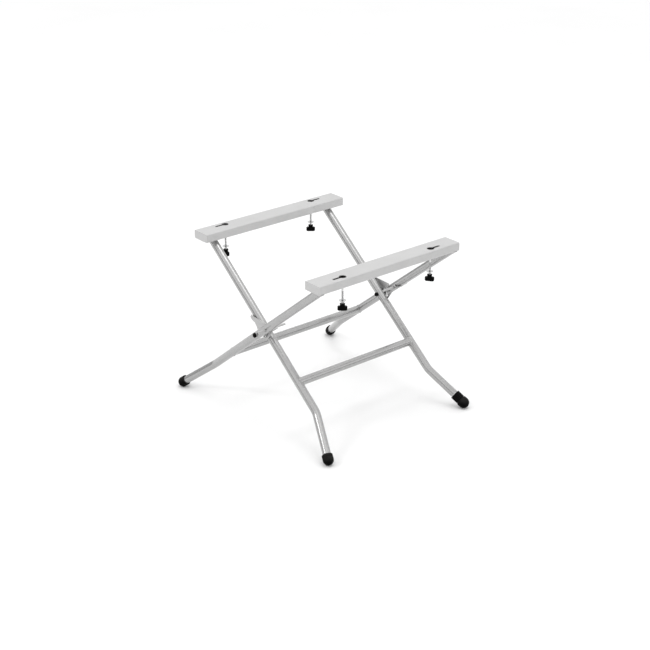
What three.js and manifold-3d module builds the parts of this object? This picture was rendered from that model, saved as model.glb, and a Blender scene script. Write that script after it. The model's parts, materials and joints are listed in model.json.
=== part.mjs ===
// Folding X-frame work stand: two tubular frames, one nested inside the other, hinged where their
// legs cross. Each frame carries one flat bar with keyholes and hanging clamp screws.
// Millimetres, +Z up. The bars run along Y and the stand folds about Y. The origin is on the
// floor, midway between the four feet. The inner frame's feet and the outer frame's bar are at +X.
import * as THREE from 'three';
import { mergeVertices } from 'three/addons/utils/BufferGeometryUtils.js';
import Module from 'manifold-3d';

const wasm = await Module();
wasm.setup();

// ---- Driving dimensions -------------------------------------------------------------------
const GAP = 0.3; // air left between pieces that touch
const CLEARANCE = 0.4; // air left between flat pieces that turn past each other
const FACETS = { hole: 16, pin: 16, hub: 18, knob: 20, cope: 32 };
const TUBE = { radius: 12.7, wall: 1.5, sides: 20 };
const BAR = { length: 550, width: 65, height: 27, wall: 2, corner: 4, centreX: 270.5, top: 546.5 };
const END_PLATE = 2;
const KEYHOLE = { outward: 12, y: 173, round: 11, slot: 4.4, reach: 33 };
const PIVOT_HEIGHT = 294;
const LEG_SLOPE = THREE.MathUtils.degToRad(38.6); // legs above the floor, seen along the hinge
const LEG_BEND = { at: 297, angle: THREE.MathUtils.degToRad(18.8), radius: 70, steps: 5 };
const INNER = { name: 'inner', lean: 1, y: 230, crossbarAt: 189 };
const OUTER = { name: 'outer', lean: -1, y: BAR.length / 2 - TUBE.radius, crossbarAt: 176 };
const FOOT = { radius: 16.5, grip: 16, tubeDepth: 4.8, lipIn: 0.6, lipDown: 0.8, steps: 5 };
const ADJUSTER = {
  ballRadius: 18, neck: 13.5, collarRadius: 16.2, collarLength: 24.5, ribs: 20, ribDepth: 0.9,
  flange: 3, plug: 20, stud: 6, studLength: 66, studPoint: 1, shoulderIn: 1.6, shoulderDown: 5,
};
const PIVOT = {
  bolt: 4, boltInNut: 2, washer: 9, washerThick: 1.5, headRadius: 5.8, headHeight: 4,
  nutRadius: 6.5, nutHeight: 8, nutWall: 1.6, nutEdge: 2.2,
  capWall: 1.5, capRoof: 2, capDome: 1.6, capEdge: 0.6,
};
const DISC = { radius: 15, thick: 2.6, notchWidth: 8, notchDepth: 3 };
const LEVER = {
  thick: 2.2, along: 58, below: -5, boss: 7, bossStep: 30, noseGap: 0.5, noseHalf: 4,
  tabReach: 24, tabFrom: 68, tabTo: 80, tabGap: 2.6, tabThick: 2.4,
};
const PLATE = { thick: 2.7, tabWidth: 26, tabThick: 3, tabFrom: 55, tabTo: 67 };
const SPRING = { wire: 0.4, radius: 5, turns: 2, pitch: 0.9, steps: 14 };
const RIVET = { shank: 3, head: 4.6, headHeight: 2, headEdge: 1.4, thinHead: 0.5 };
const CLAMP = {
  shank: 3, headRadius: 7, headHeight: 3, washerRadius: 10.5, washerThick: 1.6, washerZ: 472.5,
  collarRadius: 8, collarTop: 463.5, collarBottom: 454.5, collarInWing: 1, boltInWing: 4,
  wingBottom: 442, wingLong: 29, wingWide: 14.5,
};
// The angle to which each wing knob is left turned.
const KNOB_TURN = { rear_left: 84, rear_right: -40, front_left: -40, front_right: -55 };

const BAR_BOTTOM = BAR.top - BAR.height;
const SIDES = [['left', -1], ['right', 1]];
const DISC_FACE = INNER.y + TUBE.radius + GAP; // the disc's face towards the inner leg
const LEVER_FACE = DISC_FACE + RIVET.thinHead + CLEARANCE;
const PLATE_FACE = LEVER_FACE + LEVER.thick + CLEARANCE;
const WASHER_FACE = OUTER.y + TUBE.radius + GAP; // the washer's face against the outer leg
const HEAD_FACE = WASHER_FACE + PIVOT.washerThick + GAP; // under the hinge bolt's head

// ---- Finishes -------------------------------------------------------------------------------
const finish = (color, roughness, metalness) => ({ color, roughness, metalness });
const SILVER_PAINT = finish(0xc9c9c8, 0.42, 0.35);
const ZINC = finish(0xb9bbbe, 0.3, 0.9);
const DARK_ZINC = finish(0x6d6e70, 0.4, 0.85);
const BLACK_PLASTIC = finish(0x141414, 0.45, 0);
const RUBBER = finish(0x191919, 0.8, 0);

// ---- Geometry helpers -------------------------------------------------------------------------
// A closed three.js geometry as a solid that can be joined to another or cut by it.
function solid(geometry) {
  const bare = geometry.clone();
  bare.deleteAttribute('normal');
  bare.deleteAttribute('uv');
  const merged = mergeVertices(bare, 1e-4);
  const corners = merged.index.array;
  const kept = [];
  for (let i = 0; i < corners.length; i += 3) {
    const [a, b, c] = corners.subarray(i, i + 3);
    if (a !== b && b !== c && c !== a) kept.push(a, b, c);
  }
  return new wasm.Manifold(new wasm.Mesh({
    numProp: 3,
    vertProperties: Float32Array.from(merged.attributes.position.array),
    triVerts: Uint32Array.from(kept),
  }));
}

// The solid's surface as a three.js geometry again.
function surface(body) {
  const { vertProperties, triVerts } = body.getMesh();
  const geometry = new THREE.BufferGeometry();
  geometry.setAttribute('position', new THREE.BufferAttribute(vertProperties, 3));
  geometry.setIndex(new THREE.BufferAttribute(triVerts, 1));
  return geometry;
}

function piece(name, geometry, look) {
  const mesh = new THREE.Mesh(geometry, new THREE.MeshStandardMaterial(look));
  mesh.name = name;
  return mesh;
}

function disc(radius, depth, sides) {
  return new THREE.CylinderGeometry(radius, radius, depth, sides);
}

// A profile of [radius, height] points turned about the Z axis. It runs from the top down.
function turned(profile, sides) {
  const points = profile.map(([radius, height]) => new THREE.Vector2(radius, height));
  return new THREE.LatheGeometry(points.reverse(), sides).rotateX(Math.PI / 2);
}

// Quarter of a ball's outline, from its equator at height 0 down to its pole.
function domeProfile(radius, steps) {
  const points = [];
  for (let i = 0; i <= steps; i += 1) {
    const turn = (i / steps) * Math.PI / 2;
    points.push([i === steps ? 0 : radius * Math.cos(turn), -radius * Math.sin(turn)]);
  }
  return points;
}

function circle(radius) {
  return new THREE.Shape().absarc(0, 0, radius, 0, 2 * Math.PI);
}

function ringShape(outer, inner) {
  const shape = circle(outer);
  shape.holes.push(new THREE.Path().absarc(0, 0, inner, 0, 2 * Math.PI, true));
  return shape;
}

function roundedBox(width, height, corner) {
  const x = width / 2 - corner;
  const y = height / 2 - corner;
  return new THREE.Shape()
    .absarc(x, y, corner, 0, Math.PI / 2)
    .absarc(-x, y, corner, Math.PI / 2, Math.PI)
    .absarc(-x, -y, corner, Math.PI, 1.5 * Math.PI)
    .absarc(x, -y, corner, 1.5 * Math.PI, 2 * Math.PI)
    .closePath();
}

// A slot with round ends, lying along Y from the origin to reach.
function slotShape(radius, reach) {
  return new THREE.Shape()
    .absarc(0, reach, radius, 0, Math.PI)
    .absarc(0, 0, radius, Math.PI, 2 * Math.PI)
    .closePath();
}

function extruded(shape, depth, curveSegments = 4) {
  return new THREE.ExtrudeGeometry(shape, { depth, bevelEnabled: false, curveSegments });
}

// An outline drawn in X and Z, given thickness along Y from faceY outwards on one side.
function sheet(shape, thick, side, faceY, curveSegments = 6) {
  const near = side > 0 ? faceY : -faceY - thick;
  return extruded(shape, thick, curveSegments).rotateX(Math.PI / 2).translate(0, near + thick, 0);
}

// A sweep's centre line with its steps where they are wanted: one step along each straight run
// and several round a bend.
class Route extends THREE.Curve {
  constructor(stations) {
    super();
    this.stations = stations;
  }

  station(u) {
    return this.stations[Math.round(u * (this.stations.length - 1))];
  }

  getPointAt(u, target = new THREE.Vector3()) {
    return target.copy(this.station(u).point);
  }

  getTangentAt(u, target = new THREE.Vector3()) {
    return target.copy(this.station(u).direction);
  }
}

function swept(shape, stations, curveSegments) {
  return new THREE.ExtrudeGeometry(shape, {
    steps: stations.length - 1,
    extrudePath: new Route(stations),
    curveSegments,
    bevelEnabled: false,
  });
}

// ---- Frame directions ---------------------------------------------------------------------------
// Unit vectors of one leg: down its straight part, and down its bent foot end.
function legLines(frame, side) {
  const down = new THREE.Vector3(frame.lean * Math.cos(LEG_SLOPE), 0, -Math.sin(LEG_SLOPE));
  const out = new THREE.Vector3(0, side, 0);
  const footward = down.clone().multiplyScalar(Math.cos(LEG_BEND.angle));
  footward.addScaledVector(out, Math.sin(LEG_BEND.angle));
  return { down, out, footward, crossing: new THREE.Vector3(0, side * frame.y, 0) };
}

// A point on a leg's bent end, a distance past the corner of the bend.
function footPoint(frame, side, distance) {
  const { down, footward, crossing } = legLines(frame, side);
  return crossing.addScaledVector(down, LEG_BEND.at).addScaledVector(footward, distance);
}

// How far past the bend a foot of this radius rests on the floor.
function footReach(radius) {
  const cornerHeight = PIVOT_HEIGHT - LEG_BEND.at * Math.sin(LEG_SLOPE);
  return (cornerHeight - radius) / (Math.sin(LEG_SLOPE) * Math.cos(LEG_BEND.angle));
}

const FOOT_REACH = footReach(FOOT.radius);
const BALL_REACH = footReach(ADJUSTER.ballRadius);
const COLLAR_END = BALL_REACH - ADJUSTER.neck - GAP;
const COLLAR_START = COLLAR_END - ADJUSTER.collarLength;
const FLANGE_START = COLLAR_START - GAP - ADJUSTER.flange;

// A point beside the outer leg: along it up from the hinge, and square to it, in X and Z.
function besideOuterLeg(along, above) {
  const x = along * Math.cos(LEG_SLOPE) - above * Math.sin(LEG_SLOPE);
  const z = along * Math.sin(LEG_SLOPE) + above * Math.cos(LEG_SLOPE);
  return new THREE.Vector2(x, z);
}

// The same beside the inner leg: up it from the hinge, and square to it on its upper side.
function besideInnerLeg(along, above) {
  const { x, y } = besideOuterLeg(along, above);
  return new THREE.Vector2(-x, y);
}

// A point on a foot end as a mesh position, with the piece's own Z axis pointing up the leg.
function standOnFootEnd(mesh, frame, side, distance) {
  mesh.position.copy(footPoint(frame, side, distance));
  const up = legLines(frame, side).footward.negate();
  mesh.quaternion.setFromUnitVectors(new THREE.Vector3(0, 0, 1), up);
  return mesh;
}

// ---- Frames -----------------------------------------------------------------------------------
function legStations(frame, side, end) {
  const { down, out, crossing } = legLines(frame, side);
  const top = (BAR_BOTTOM - PIVOT_HEIGHT) / Math.sin(LEG_SLOPE) + 2 * TUBE.radius;
  const trim = LEG_BEND.radius * Math.tan(LEG_BEND.angle / 2);
  const arcStart = crossing.clone().addScaledVector(down, LEG_BEND.at - trim);
  const stations = [{ point: crossing.clone().addScaledVector(down, -top), direction: down }];
  for (let i = 0; i <= LEG_BEND.steps; i += 1) {
    const turn = LEG_BEND.angle * i / LEG_BEND.steps;
    const point = arcStart.clone().addScaledVector(down, LEG_BEND.radius * Math.sin(turn));
    point.addScaledVector(out, LEG_BEND.radius * (1 - Math.cos(turn)));
    const direction = down.clone().multiplyScalar(Math.cos(turn)).addScaledVector(out, Math.sin(turn));
    stations.push({ point, direction });
  }
  stations.push({ point: footPoint(frame, side, end), direction: legLines(frame, side).footward });
  return stations;
}

// A leg: tube from the bar's underside, through the hinge and the bend, to its foot.
function leg(frame, side, end, crossHoles) {
  const shape = ringShape(TUBE.radius, TUBE.radius - TUBE.wall);
  let body = solid(swept(shape, legStations(frame, side, end), TUBE.sides / 2));
  const width = 2 * BAR.length;
  const depth = 8 * TUBE.radius;
  const aboveBar = new THREE.BoxGeometry(width, width, depth);
  aboveBar.translate(0, 0, BAR_BOTTOM - PIVOT_HEIGHT - GAP + depth / 2);
  body = body.subtract(solid(aboveBar));
  for (const { at, radius } of crossHoles) {
    const drill = disc(radius, 3 * TUBE.radius, FACETS.hole);
    body = body.subtract(solid(drill.translate(at.x, side * frame.y, at.y)));
  }
  return surface(body);
}

function crossbar(frame) {
  const shape = ringShape(TUBE.radius, TUBE.radius - TUBE.wall);
  const tube = extruded(shape, 2 * frame.y, TUBE.sides / 2).rotateX(Math.PI / 2);
  let body = solid(tube.translate(0, frame.y, 0));
  for (const [, side] of SIDES) {
    const { down } = legLines(frame, side);
    const cope = disc(TUBE.radius + 1.3 * GAP, 6 * TUBE.radius, FACETS.cope);
    cope.rotateZ(Math.PI / 2).rotateY(Math.atan2(-down.z, down.x)).translate(0, side * frame.y, 0);
    body = body.subtract(solid(cope));
  }
  return surface(body);
}

const PIVOT_HOLE = { at: new THREE.Vector2(0, 0), radius: PIVOT.bolt + GAP };
const RIVET_AT = besideOuterLeg(LEVER.along, LEVER.below);
const RIVET_HOLE = { at: RIVET_AT, radius: RIVET.shank + GAP };

function frameTubes(frame, crossHoles, lastReach) {
  const group = new THREE.Group();
  for (const [word, side] of SIDES) {
    const end = side > 0 ? lastReach : FOOT_REACH - FOOT.tubeDepth;
    group.add(piece(`${frame.name}_leg_${word}`, leg(frame, side, end, crossHoles), SILVER_PAINT));
  }
  const bar = piece(`${frame.name}_crossbar`, crossbar(frame), SILVER_PAINT);
  bar.position.copy(legLines(frame, 1).down).multiplyScalar(frame.crossbarAt);
  return group.add(bar);
}

// ---- Feet --------------------------------------------------------------------------------------
// A rubber cap pushed over the end of a leg, with a ball end that stands on the floor.
function rubberFoot() {
  const bore = TUBE.radius + GAP;
  const floor = FOOT.tubeDepth - GAP;
  return turned([
    [0, floor],
    [bore, floor],
    [bore, FOOT.grip],
    [FOOT.radius - FOOT.lipIn, FOOT.grip],
    [FOOT.radius, FOOT.grip - FOOT.lipDown],
    ...domeProfile(FOOT.radius, FOOT.steps),
  ], TUBE.sides);
}

// The plug pressed into the shorter leg: a flange against the tube's end, bored for the stud.
function adjusterBush() {
  const bore = ADJUSTER.stud + GAP;
  const plug = TUBE.radius - TUBE.wall - GAP;
  return turned([
    [bore, ADJUSTER.plug],
    [plug, ADJUSTER.plug],
    [plug, 0],
    [TUBE.radius, 0],
    [TUBE.radius, -ADJUSTER.flange],
    [bore, -ADJUSTER.flange],
    [bore, ADJUSTER.plug],
  ], TUBE.sides);
}

// The ribbed ring that is turned by hand to screw the ball foot in or out.
function adjusterCollar() {
  const shape = new THREE.Shape();
  for (let i = 0; i < 2 * ADJUSTER.ribs; i += 1) {
    const turn = (i / ADJUSTER.ribs) * Math.PI;
    const radius = ADJUSTER.collarRadius - (i % 2) * ADJUSTER.ribDepth;
    const point = [radius * Math.cos(turn), radius * Math.sin(turn)];
    if (i === 0) shape.moveTo(...point);
    else shape.lineTo(...point);
  }
  shape.closePath();
  shape.holes.push(new THREE.Path().absarc(0, 0, ADJUSTER.stud + GAP, 0, 2 * Math.PI, true));
  return extruded(shape, ADJUSTER.collarLength, 8);
}

function adjusterFoot() {
  const bore = ADJUSTER.stud + GAP;
  return turned([
    [0, 0],
    [bore, 0],
    [bore, ADJUSTER.neck],
    [ADJUSTER.ballRadius - ADJUSTER.shoulderIn, ADJUSTER.neck],
    [ADJUSTER.ballRadius, ADJUSTER.neck - ADJUSTER.shoulderDown],
    ...domeProfile(ADJUSTER.ballRadius, FOOT.steps),
  ], TUBE.sides);
}

function adjusterStud() {
  return turned([
    [0, GAP + ADJUSTER.studLength],
    [ADJUSTER.stud - ADJUSTER.studPoint, GAP + ADJUSTER.studLength],
    [ADJUSTER.stud, ADJUSTER.studLength - ADJUSTER.studPoint],
    [ADJUSTER.stud, GAP],
    [0, GAP],
  ], FACETS.pin);
}

function adjusterPieces() {
  const onLeg = (mesh, distance) => standOnFootEnd(mesh, INNER, 1, distance);
  return [
    onLeg(piece('adjuster_bush', adjusterBush(), ZINC), FLANGE_START),
    onLeg(piece('adjuster_collar', adjusterCollar(), BLACK_PLASTIC), COLLAR_END),
    onLeg(piece('adjuster_stud', adjusterStud(), ZINC), BALL_REACH),
    onLeg(piece('adjuster_foot', adjusterFoot(), RUBBER), BALL_REACH),
  ];
}

function rubberFeet() {
  const places = [[INNER, 'left', -1], [OUTER, 'left', -1], [OUTER, 'right', 1]];
  return places.map(([frame, word, side]) => {
    const foot = piece(`${frame.name}_foot_${word}`, rubberFoot(), RUBBER);
    return standOnFootEnd(foot, frame, side, FOOT_REACH);
  });
}

// ---- Hinge and lock at each crossing ------------------------------------------------------------
// A plate on the outer leg whose bent tab stops the inner leg when the stand is fully open.
function stopPlate(side) {
  const tabFoot = -TUBE.radius - CLEARANCE;
  const outline = new THREE.Shape([
    new THREE.Vector2(23, 36),
    new THREE.Vector2(-50, 39),
    besideInnerLeg(PLATE.tabTo + 2, 0),
    besideInnerLeg(PLATE.tabTo, tabFoot - PLATE.tabThick),
    besideInnerLeg(PLATE.tabFrom, tabFoot - PLATE.tabThick),
    new THREE.Vector2(-37, 21),
    new THREE.Vector2(-28, 11),
    new THREE.Vector2(-22, -3),
    new THREE.Vector2(-8, -13),
    new THREE.Vector2(9, -10),
  ]);
  const outerFace = PLATE_FACE + PLATE.thick;
  const tab = new THREE.Shape([
    besideInnerLeg(PLATE.tabFrom, tabFoot),
    besideInnerLeg(PLATE.tabTo, tabFoot),
    besideInnerLeg(PLATE.tabTo, tabFoot - PLATE.tabThick),
    besideInnerLeg(PLATE.tabFrom, tabFoot - PLATE.tabThick),
  ]);
  const bore = disc(PIVOT_HOLE.radius, 9 * PLATE.thick, FACETS.hole);
  bore.translate(0, side * outerFace, 0);
  const tabStart = outerFace - PLATE.tabWidth;
  return surface(solid(sheet(outline, PLATE.thick, side, PLATE_FACE))
    .add(solid(sheet(tab, PLATE.tabWidth, side, tabStart)))
    .subtract(solid(bore)));
}

// A notched disc fixed to the inner leg, turning with it behind the stop plate.
function lockDisc(side) {
  const ring = ringShape(DISC.radius, PIVOT_HOLE.radius);
  const notch = new THREE.BoxGeometry(DISC.notchWidth, 3 * DISC.thick, 2 * DISC.notchDepth);
  notch.translate(0, side * (DISC_FACE + DISC.thick / 2), -DISC.radius).rotateY(-LEG_SLOPE);
  return surface(solid(sheet(ring, DISC.thick, side, DISC_FACE, 14)).subtract(solid(notch)));
}

// The lever that lies along the outer leg: a nose under the disc's notch, a boss on the rivet and
// a finger tab bent out below the leg. Squeezing the tab against the leg drops the nose.
function lockLever(side) {
  const noseTop = -DISC.radius - LEVER.noseGap;
  const { along, below, boss, noseHalf, tabFrom, tabTo } = LEVER;
  const tabTop = -TUBE.radius - GAP - LEVER.tabGap;
  const tabLow = tabTop - LEVER.tabThick;
  const outline = [[-noseHalf, noseTop], [noseHalf, noseTop], [2 * noseHalf, noseTop - noseHalf]];
  outline.push([along - boss - 2, below + 3]);
  for (let turn = 5 * LEVER.bossStep; turn >= 0; turn -= LEVER.bossStep) {
    const angle = THREE.MathUtils.degToRad(turn);
    outline.push([along + boss * Math.cos(angle), below + boss * Math.sin(angle)]);
  }
  outline.push([tabTo, tabTop], [tabTo, tabLow], [tabFrom - 1, tabLow], [along - 6, below - boss]);
  outline.push([2 * noseHalf, noseTop - 10], [1 - noseHalf, noseTop - 8]);
  const points = outline.map(([a, n]) => besideOuterLeg(a, n));
  const tabPoints = [[tabFrom, tabTop], [tabTo, tabTop], [tabTo, tabLow], [tabFrom, tabLow]];
  const tab = new THREE.Shape(tabPoints.map(([a, n]) => besideOuterLeg(a, n)));
  const bore = disc(RIVET_HOLE.radius, 9 * LEVER.thick, FACETS.hole);
  bore.translate(RIVET_AT.x, side * LEVER_FACE, RIVET_AT.y);
  return surface(solid(sheet(new THREE.Shape(points), LEVER.thick, side, LEVER_FACE))
    .add(solid(sheet(tab, LEVER.tabReach, side, LEVER_FACE)))
    .subtract(solid(bore)));
}

// Pins and washers are turned about Z and laid along Y, pointing outwards from the stand's middle.
function laidOutwards(mesh, side, at) {
  mesh.rotation.x = -side * Math.PI / 2;
  mesh.position.set(at.x, 0, at.y);
  return mesh;
}

function leverRivet() {
  const inner = LEVER_FACE - GAP - RIVET.thinHead;
  const outer = WASHER_FACE;
  return turned([
    [0, outer + RIVET.headHeight],
    [RIVET.head - RIVET.headEdge, outer + RIVET.headHeight],
    [RIVET.head, outer],
    [RIVET.shank, outer],
    [RIVET.shank, inner + RIVET.thinHead],
    [RIVET.head, inner + RIVET.thinHead],
    [RIVET.head, inner],
    [0, inner],
  ], FACETS.pin);
}

// A torsion spring wound round the rivet between the lever and the leg.
function leverSpring() {
  const stations = [];
  const count = SPRING.turns * SPRING.steps;
  const rise = SPRING.pitch / (2 * Math.PI);
  for (let i = 0; i <= count; i += 1) {
    const turn = (i / SPRING.steps) * 2 * Math.PI;
    const x = SPRING.radius * Math.cos(turn);
    const y = SPRING.radius * Math.sin(turn);
    const direction = new THREE.Vector3(-y, x, rise).normalize();
    const point = new THREE.Vector3(x, y, PLATE_FACE + SPRING.wire + rise * turn);
    stations.push({ point, direction });
  }
  return swept(circle(SPRING.wire), stations, 3);
}

function pivotBolt() {
  const tail = INNER.y - TUBE.radius - PIVOT.nutHeight + PIVOT.boltInNut;
  return turned([
    [0, HEAD_FACE + PIVOT.headHeight],
    [PIVOT.headRadius, HEAD_FACE + PIVOT.headHeight],
    [PIVOT.headRadius, HEAD_FACE],
    [PIVOT.bolt, HEAD_FACE],
    [PIVOT.bolt, tail],
    [0, tail],
  ], FACETS.hub);
}

// A flat ring with a round bore, between two distances along its axis.
function ring(bore, radius, from, to) {
  return turned([[bore, to], [radius, to], [radius, from], [bore, from], [bore, to]], FACETS.hub);
}

function pivotWasher() {
  return ring(PIVOT_HOLE.radius, PIVOT.washer, WASHER_FACE, WASHER_FACE + PIVOT.washerThick);
}

// The plastic cap over the bolt's head.
function pivotCap() {
  const foot = HEAD_FACE + GAP;
  const room = PIVOT.headRadius + GAP;
  const roof = foot + PIVOT.headHeight;
  return turned([
    [0, roof + PIVOT.capRoof],
    [room - PIVOT.capDome, roof + PIVOT.capRoof - GAP],
    [room + PIVOT.capWall, roof - PIVOT.capEdge],
    [room + PIVOT.capWall, foot],
    [room, foot],
    [room, roof],
    [0, roof],
  ], FACETS.hub);
}

// The capped nut on the inner end of the hinge bolt.
function pivotNut() {
  const face = INNER.y - TUBE.radius - GAP;
  const end = face - PIVOT.nutHeight;
  return turned([
    [PIVOT_HOLE.radius, face],
    [PIVOT.nutRadius, face],
    [PIVOT.nutRadius, end + PIVOT.nutWall],
    [PIVOT.nutRadius - PIVOT.nutEdge, end],
    [0, end],
    [0, end + PIVOT.nutWall],
    [PIVOT_HOLE.radius, end + PIVOT.nutWall],
    [PIVOT_HOLE.radius, face],
  ], FACETS.hub);
}

function crossingPieces(word, side) {
  const pinned = (at) => (name, geometry, look) => {
    return laidOutwards(piece(`${name}_${word}`, geometry, look), side, at);
  };
  const onHinge = pinned(PIVOT_HOLE.at);
  const onRivet = pinned(RIVET_AT);
  return [
    piece(`stop_plate_${word}`, stopPlate(side), SILVER_PAINT),
    piece(`lock_disc_${word}`, lockDisc(side), ZINC),
    piece(`lock_lever_${word}`, lockLever(side), SILVER_PAINT),
    onRivet('lever_rivet', leverRivet(), DARK_ZINC),
    onRivet('lever_spring', leverSpring(), ZINC),
    onHinge('pivot_bolt', pivotBolt(), ZINC),
    onHinge('pivot_washer', pivotWasher(), ZINC),
    onHinge('pivot_cap', pivotCap(), BLACK_PLASTIC),
    onHinge('pivot_nut', pivotNut(), BLACK_PLASTIC),
  ];
}

// ---- Bars and clamp screws ------------------------------------------------------------------------
// A flat rectangular tube. Each keyhole in its top has a slot through the underside below it.
function barTube() {
  const shape = roundedBox(BAR.width, BAR.height, BAR.corner);
  const inside = roundedBox(BAR.width - 2 * BAR.wall, BAR.height - 2 * BAR.wall, BAR.corner - BAR.wall);
  shape.holes.push(inside);
  const length = BAR.length - 2 * (END_PLATE + GAP);
  let body = solid(extruded(shape, length, 3).rotateX(Math.PI / 2).translate(0, length / 2, 0));
  for (const [, side] of SIDES) {
    const slot = () => extruded(slotShape(KEYHOLE.slot, KEYHOLE.reach), 3 * BAR.wall, 8);
    const place = (geometry, z) => {
      const turn = side > 0 ? 0 : Math.PI;
      return solid(geometry.rotateZ(turn).translate(KEYHOLE.outward, side * KEYHOLE.y, z));
    };
    const topWall = BAR.height / 2 - 2 * BAR.wall;
    const round = extruded(circle(KEYHOLE.round), 3 * BAR.wall, 12);
    body = body.subtract(place(slot(), topWall)).subtract(place(round, topWall));
    body = body.subtract(place(slot(), -BAR.height / 2 - BAR.wall));
  }
  return surface(body);
}

function endPlate() {
  return extruded(roundedBox(BAR.width, BAR.height, BAR.corner), END_PLATE, 3).rotateX(Math.PI / 2);
}

function clampBolt() {
  const headFoot = BAR_BOTTOM + BAR.wall + GAP;
  const tail = CLAMP.wingBottom + CLAMP.boltInWing;
  return turned([
    [0, headFoot + CLAMP.headHeight],
    [CLAMP.headRadius, headFoot + CLAMP.headHeight],
    [CLAMP.headRadius, headFoot],
    [CLAMP.shank, headFoot],
    [CLAMP.shank, tail],
    [0, tail],
  ], FACETS.pin);
}

function clampWasher() {
  const top = CLAMP.washerZ + CLAMP.washerThick;
  return ring(CLAMP.shank + GAP, CLAMP.washerRadius, CLAMP.washerZ, top);
}

// A wing knob: a round collar above a bar with round ends, bored from above for the screw.
function clampKnob() {
  const reach = CLAMP.wingLong - CLAMP.wingWide;
  const height = CLAMP.collarBottom - CLAMP.wingBottom;
  const wing = extruded(slotShape(CLAMP.wingWide / 2, reach), height, 7);
  wing.translate(0, -reach / 2, CLAMP.wingBottom);
  const collarFoot = CLAMP.wingBottom + CLAMP.collarInWing;
  const depth = CLAMP.collarTop - collarFoot;
  const collar = disc(CLAMP.collarRadius, depth, FACETS.knob).rotateX(Math.PI / 2);
  collar.translate(0, 0, collarFoot + depth / 2);
  const drillDepth = CLAMP.collarTop - CLAMP.wingBottom;
  const bore = disc(CLAMP.shank + GAP, drillDepth, FACETS.hole).rotateX(Math.PI / 2);
  bore.translate(0, 0, CLAMP.wingBottom + CLAMP.boltInWing - GAP + drillDepth / 2);
  return surface(solid(wing).add(solid(collar)).subtract(solid(bore)));
}

function clampPieces(place, x, y) {
  const turn = THREE.MathUtils.degToRad(KNOB_TURN[place]);
  const pieces = [
    piece(`clamp_bolt_${place}`, clampBolt(), ZINC),
    piece(`clamp_washer_${place}`, clampWasher(), ZINC),
    piece(`clamp_knob_${place}`, clampKnob(), BLACK_PLASTIC),
  ];
  for (const mesh of pieces) {
    mesh.position.set(x, y, 0);
    mesh.rotation.z = turn;
  }
  return pieces;
}

// One bar with its end plates and clamps. The rear one is the front one turned half round.
function barAssembly(place, end) {
  const group = new THREE.Group();
  const centre = new THREE.Group();
  centre.position.set(end * BAR.centreX, 0, BAR.top - BAR.height / 2);
  centre.rotation.z = end > 0 ? 0 : Math.PI;
  centre.add(piece(`${place}_bar`, barTube(), SILVER_PAINT));
  for (const [word, side] of SIDES) {
    const plate = piece(`${place}_bar_end_${word}`, endPlate(), SILVER_PAINT);
    plate.position.y = side * end > 0 ? BAR.length / 2 : END_PLATE - BAR.length / 2;
    centre.add(plate);
    const x = end * (BAR.centreX + KEYHOLE.outward);
    group.add(...clampPieces(`${place}_${word}`, x, side * KEYHOLE.y));
  }
  return group.add(centre);
}

// ---- Assembly ---------------------------------------------------------------------------------------
function workStand() {
  const crossing = new THREE.Group();
  crossing.position.z = PIVOT_HEIGHT;
  crossing.add(frameTubes(INNER, [PIVOT_HOLE], FLANGE_START - GAP));
  crossing.add(frameTubes(OUTER, [PIVOT_HOLE, RIVET_HOLE], FOOT_REACH - FOOT.tubeDepth));
  crossing.add(...rubberFeet(), ...adjusterPieces());
  for (const [word, side] of SIDES) crossing.add(...crossingPieces(word, side));
  const stand = new THREE.Group();
  return stand.add(crossing, barAssembly('rear', -1), barAssembly('front', 1));
}

export default workStand();
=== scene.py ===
"""A folding X-frame work stand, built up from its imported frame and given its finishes.

Two bent-tube frames cross at a pair of hinges. Each carries a flat bar with keyholes and two
hanging clamp screws. Lengths are in metres, +Z is up, Y runs along the bars and the hinge, and
the origin is on the floor under the middle of the stand.
"""

import json
import logging
import math
from contextlib import contextmanager
from dataclasses import dataclass, field
from enum import Enum
from functools import cache
from typing import Callable, Iterator, Sequence

import bmesh
import bpy
from mathutils import Matrix, Vector

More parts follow.
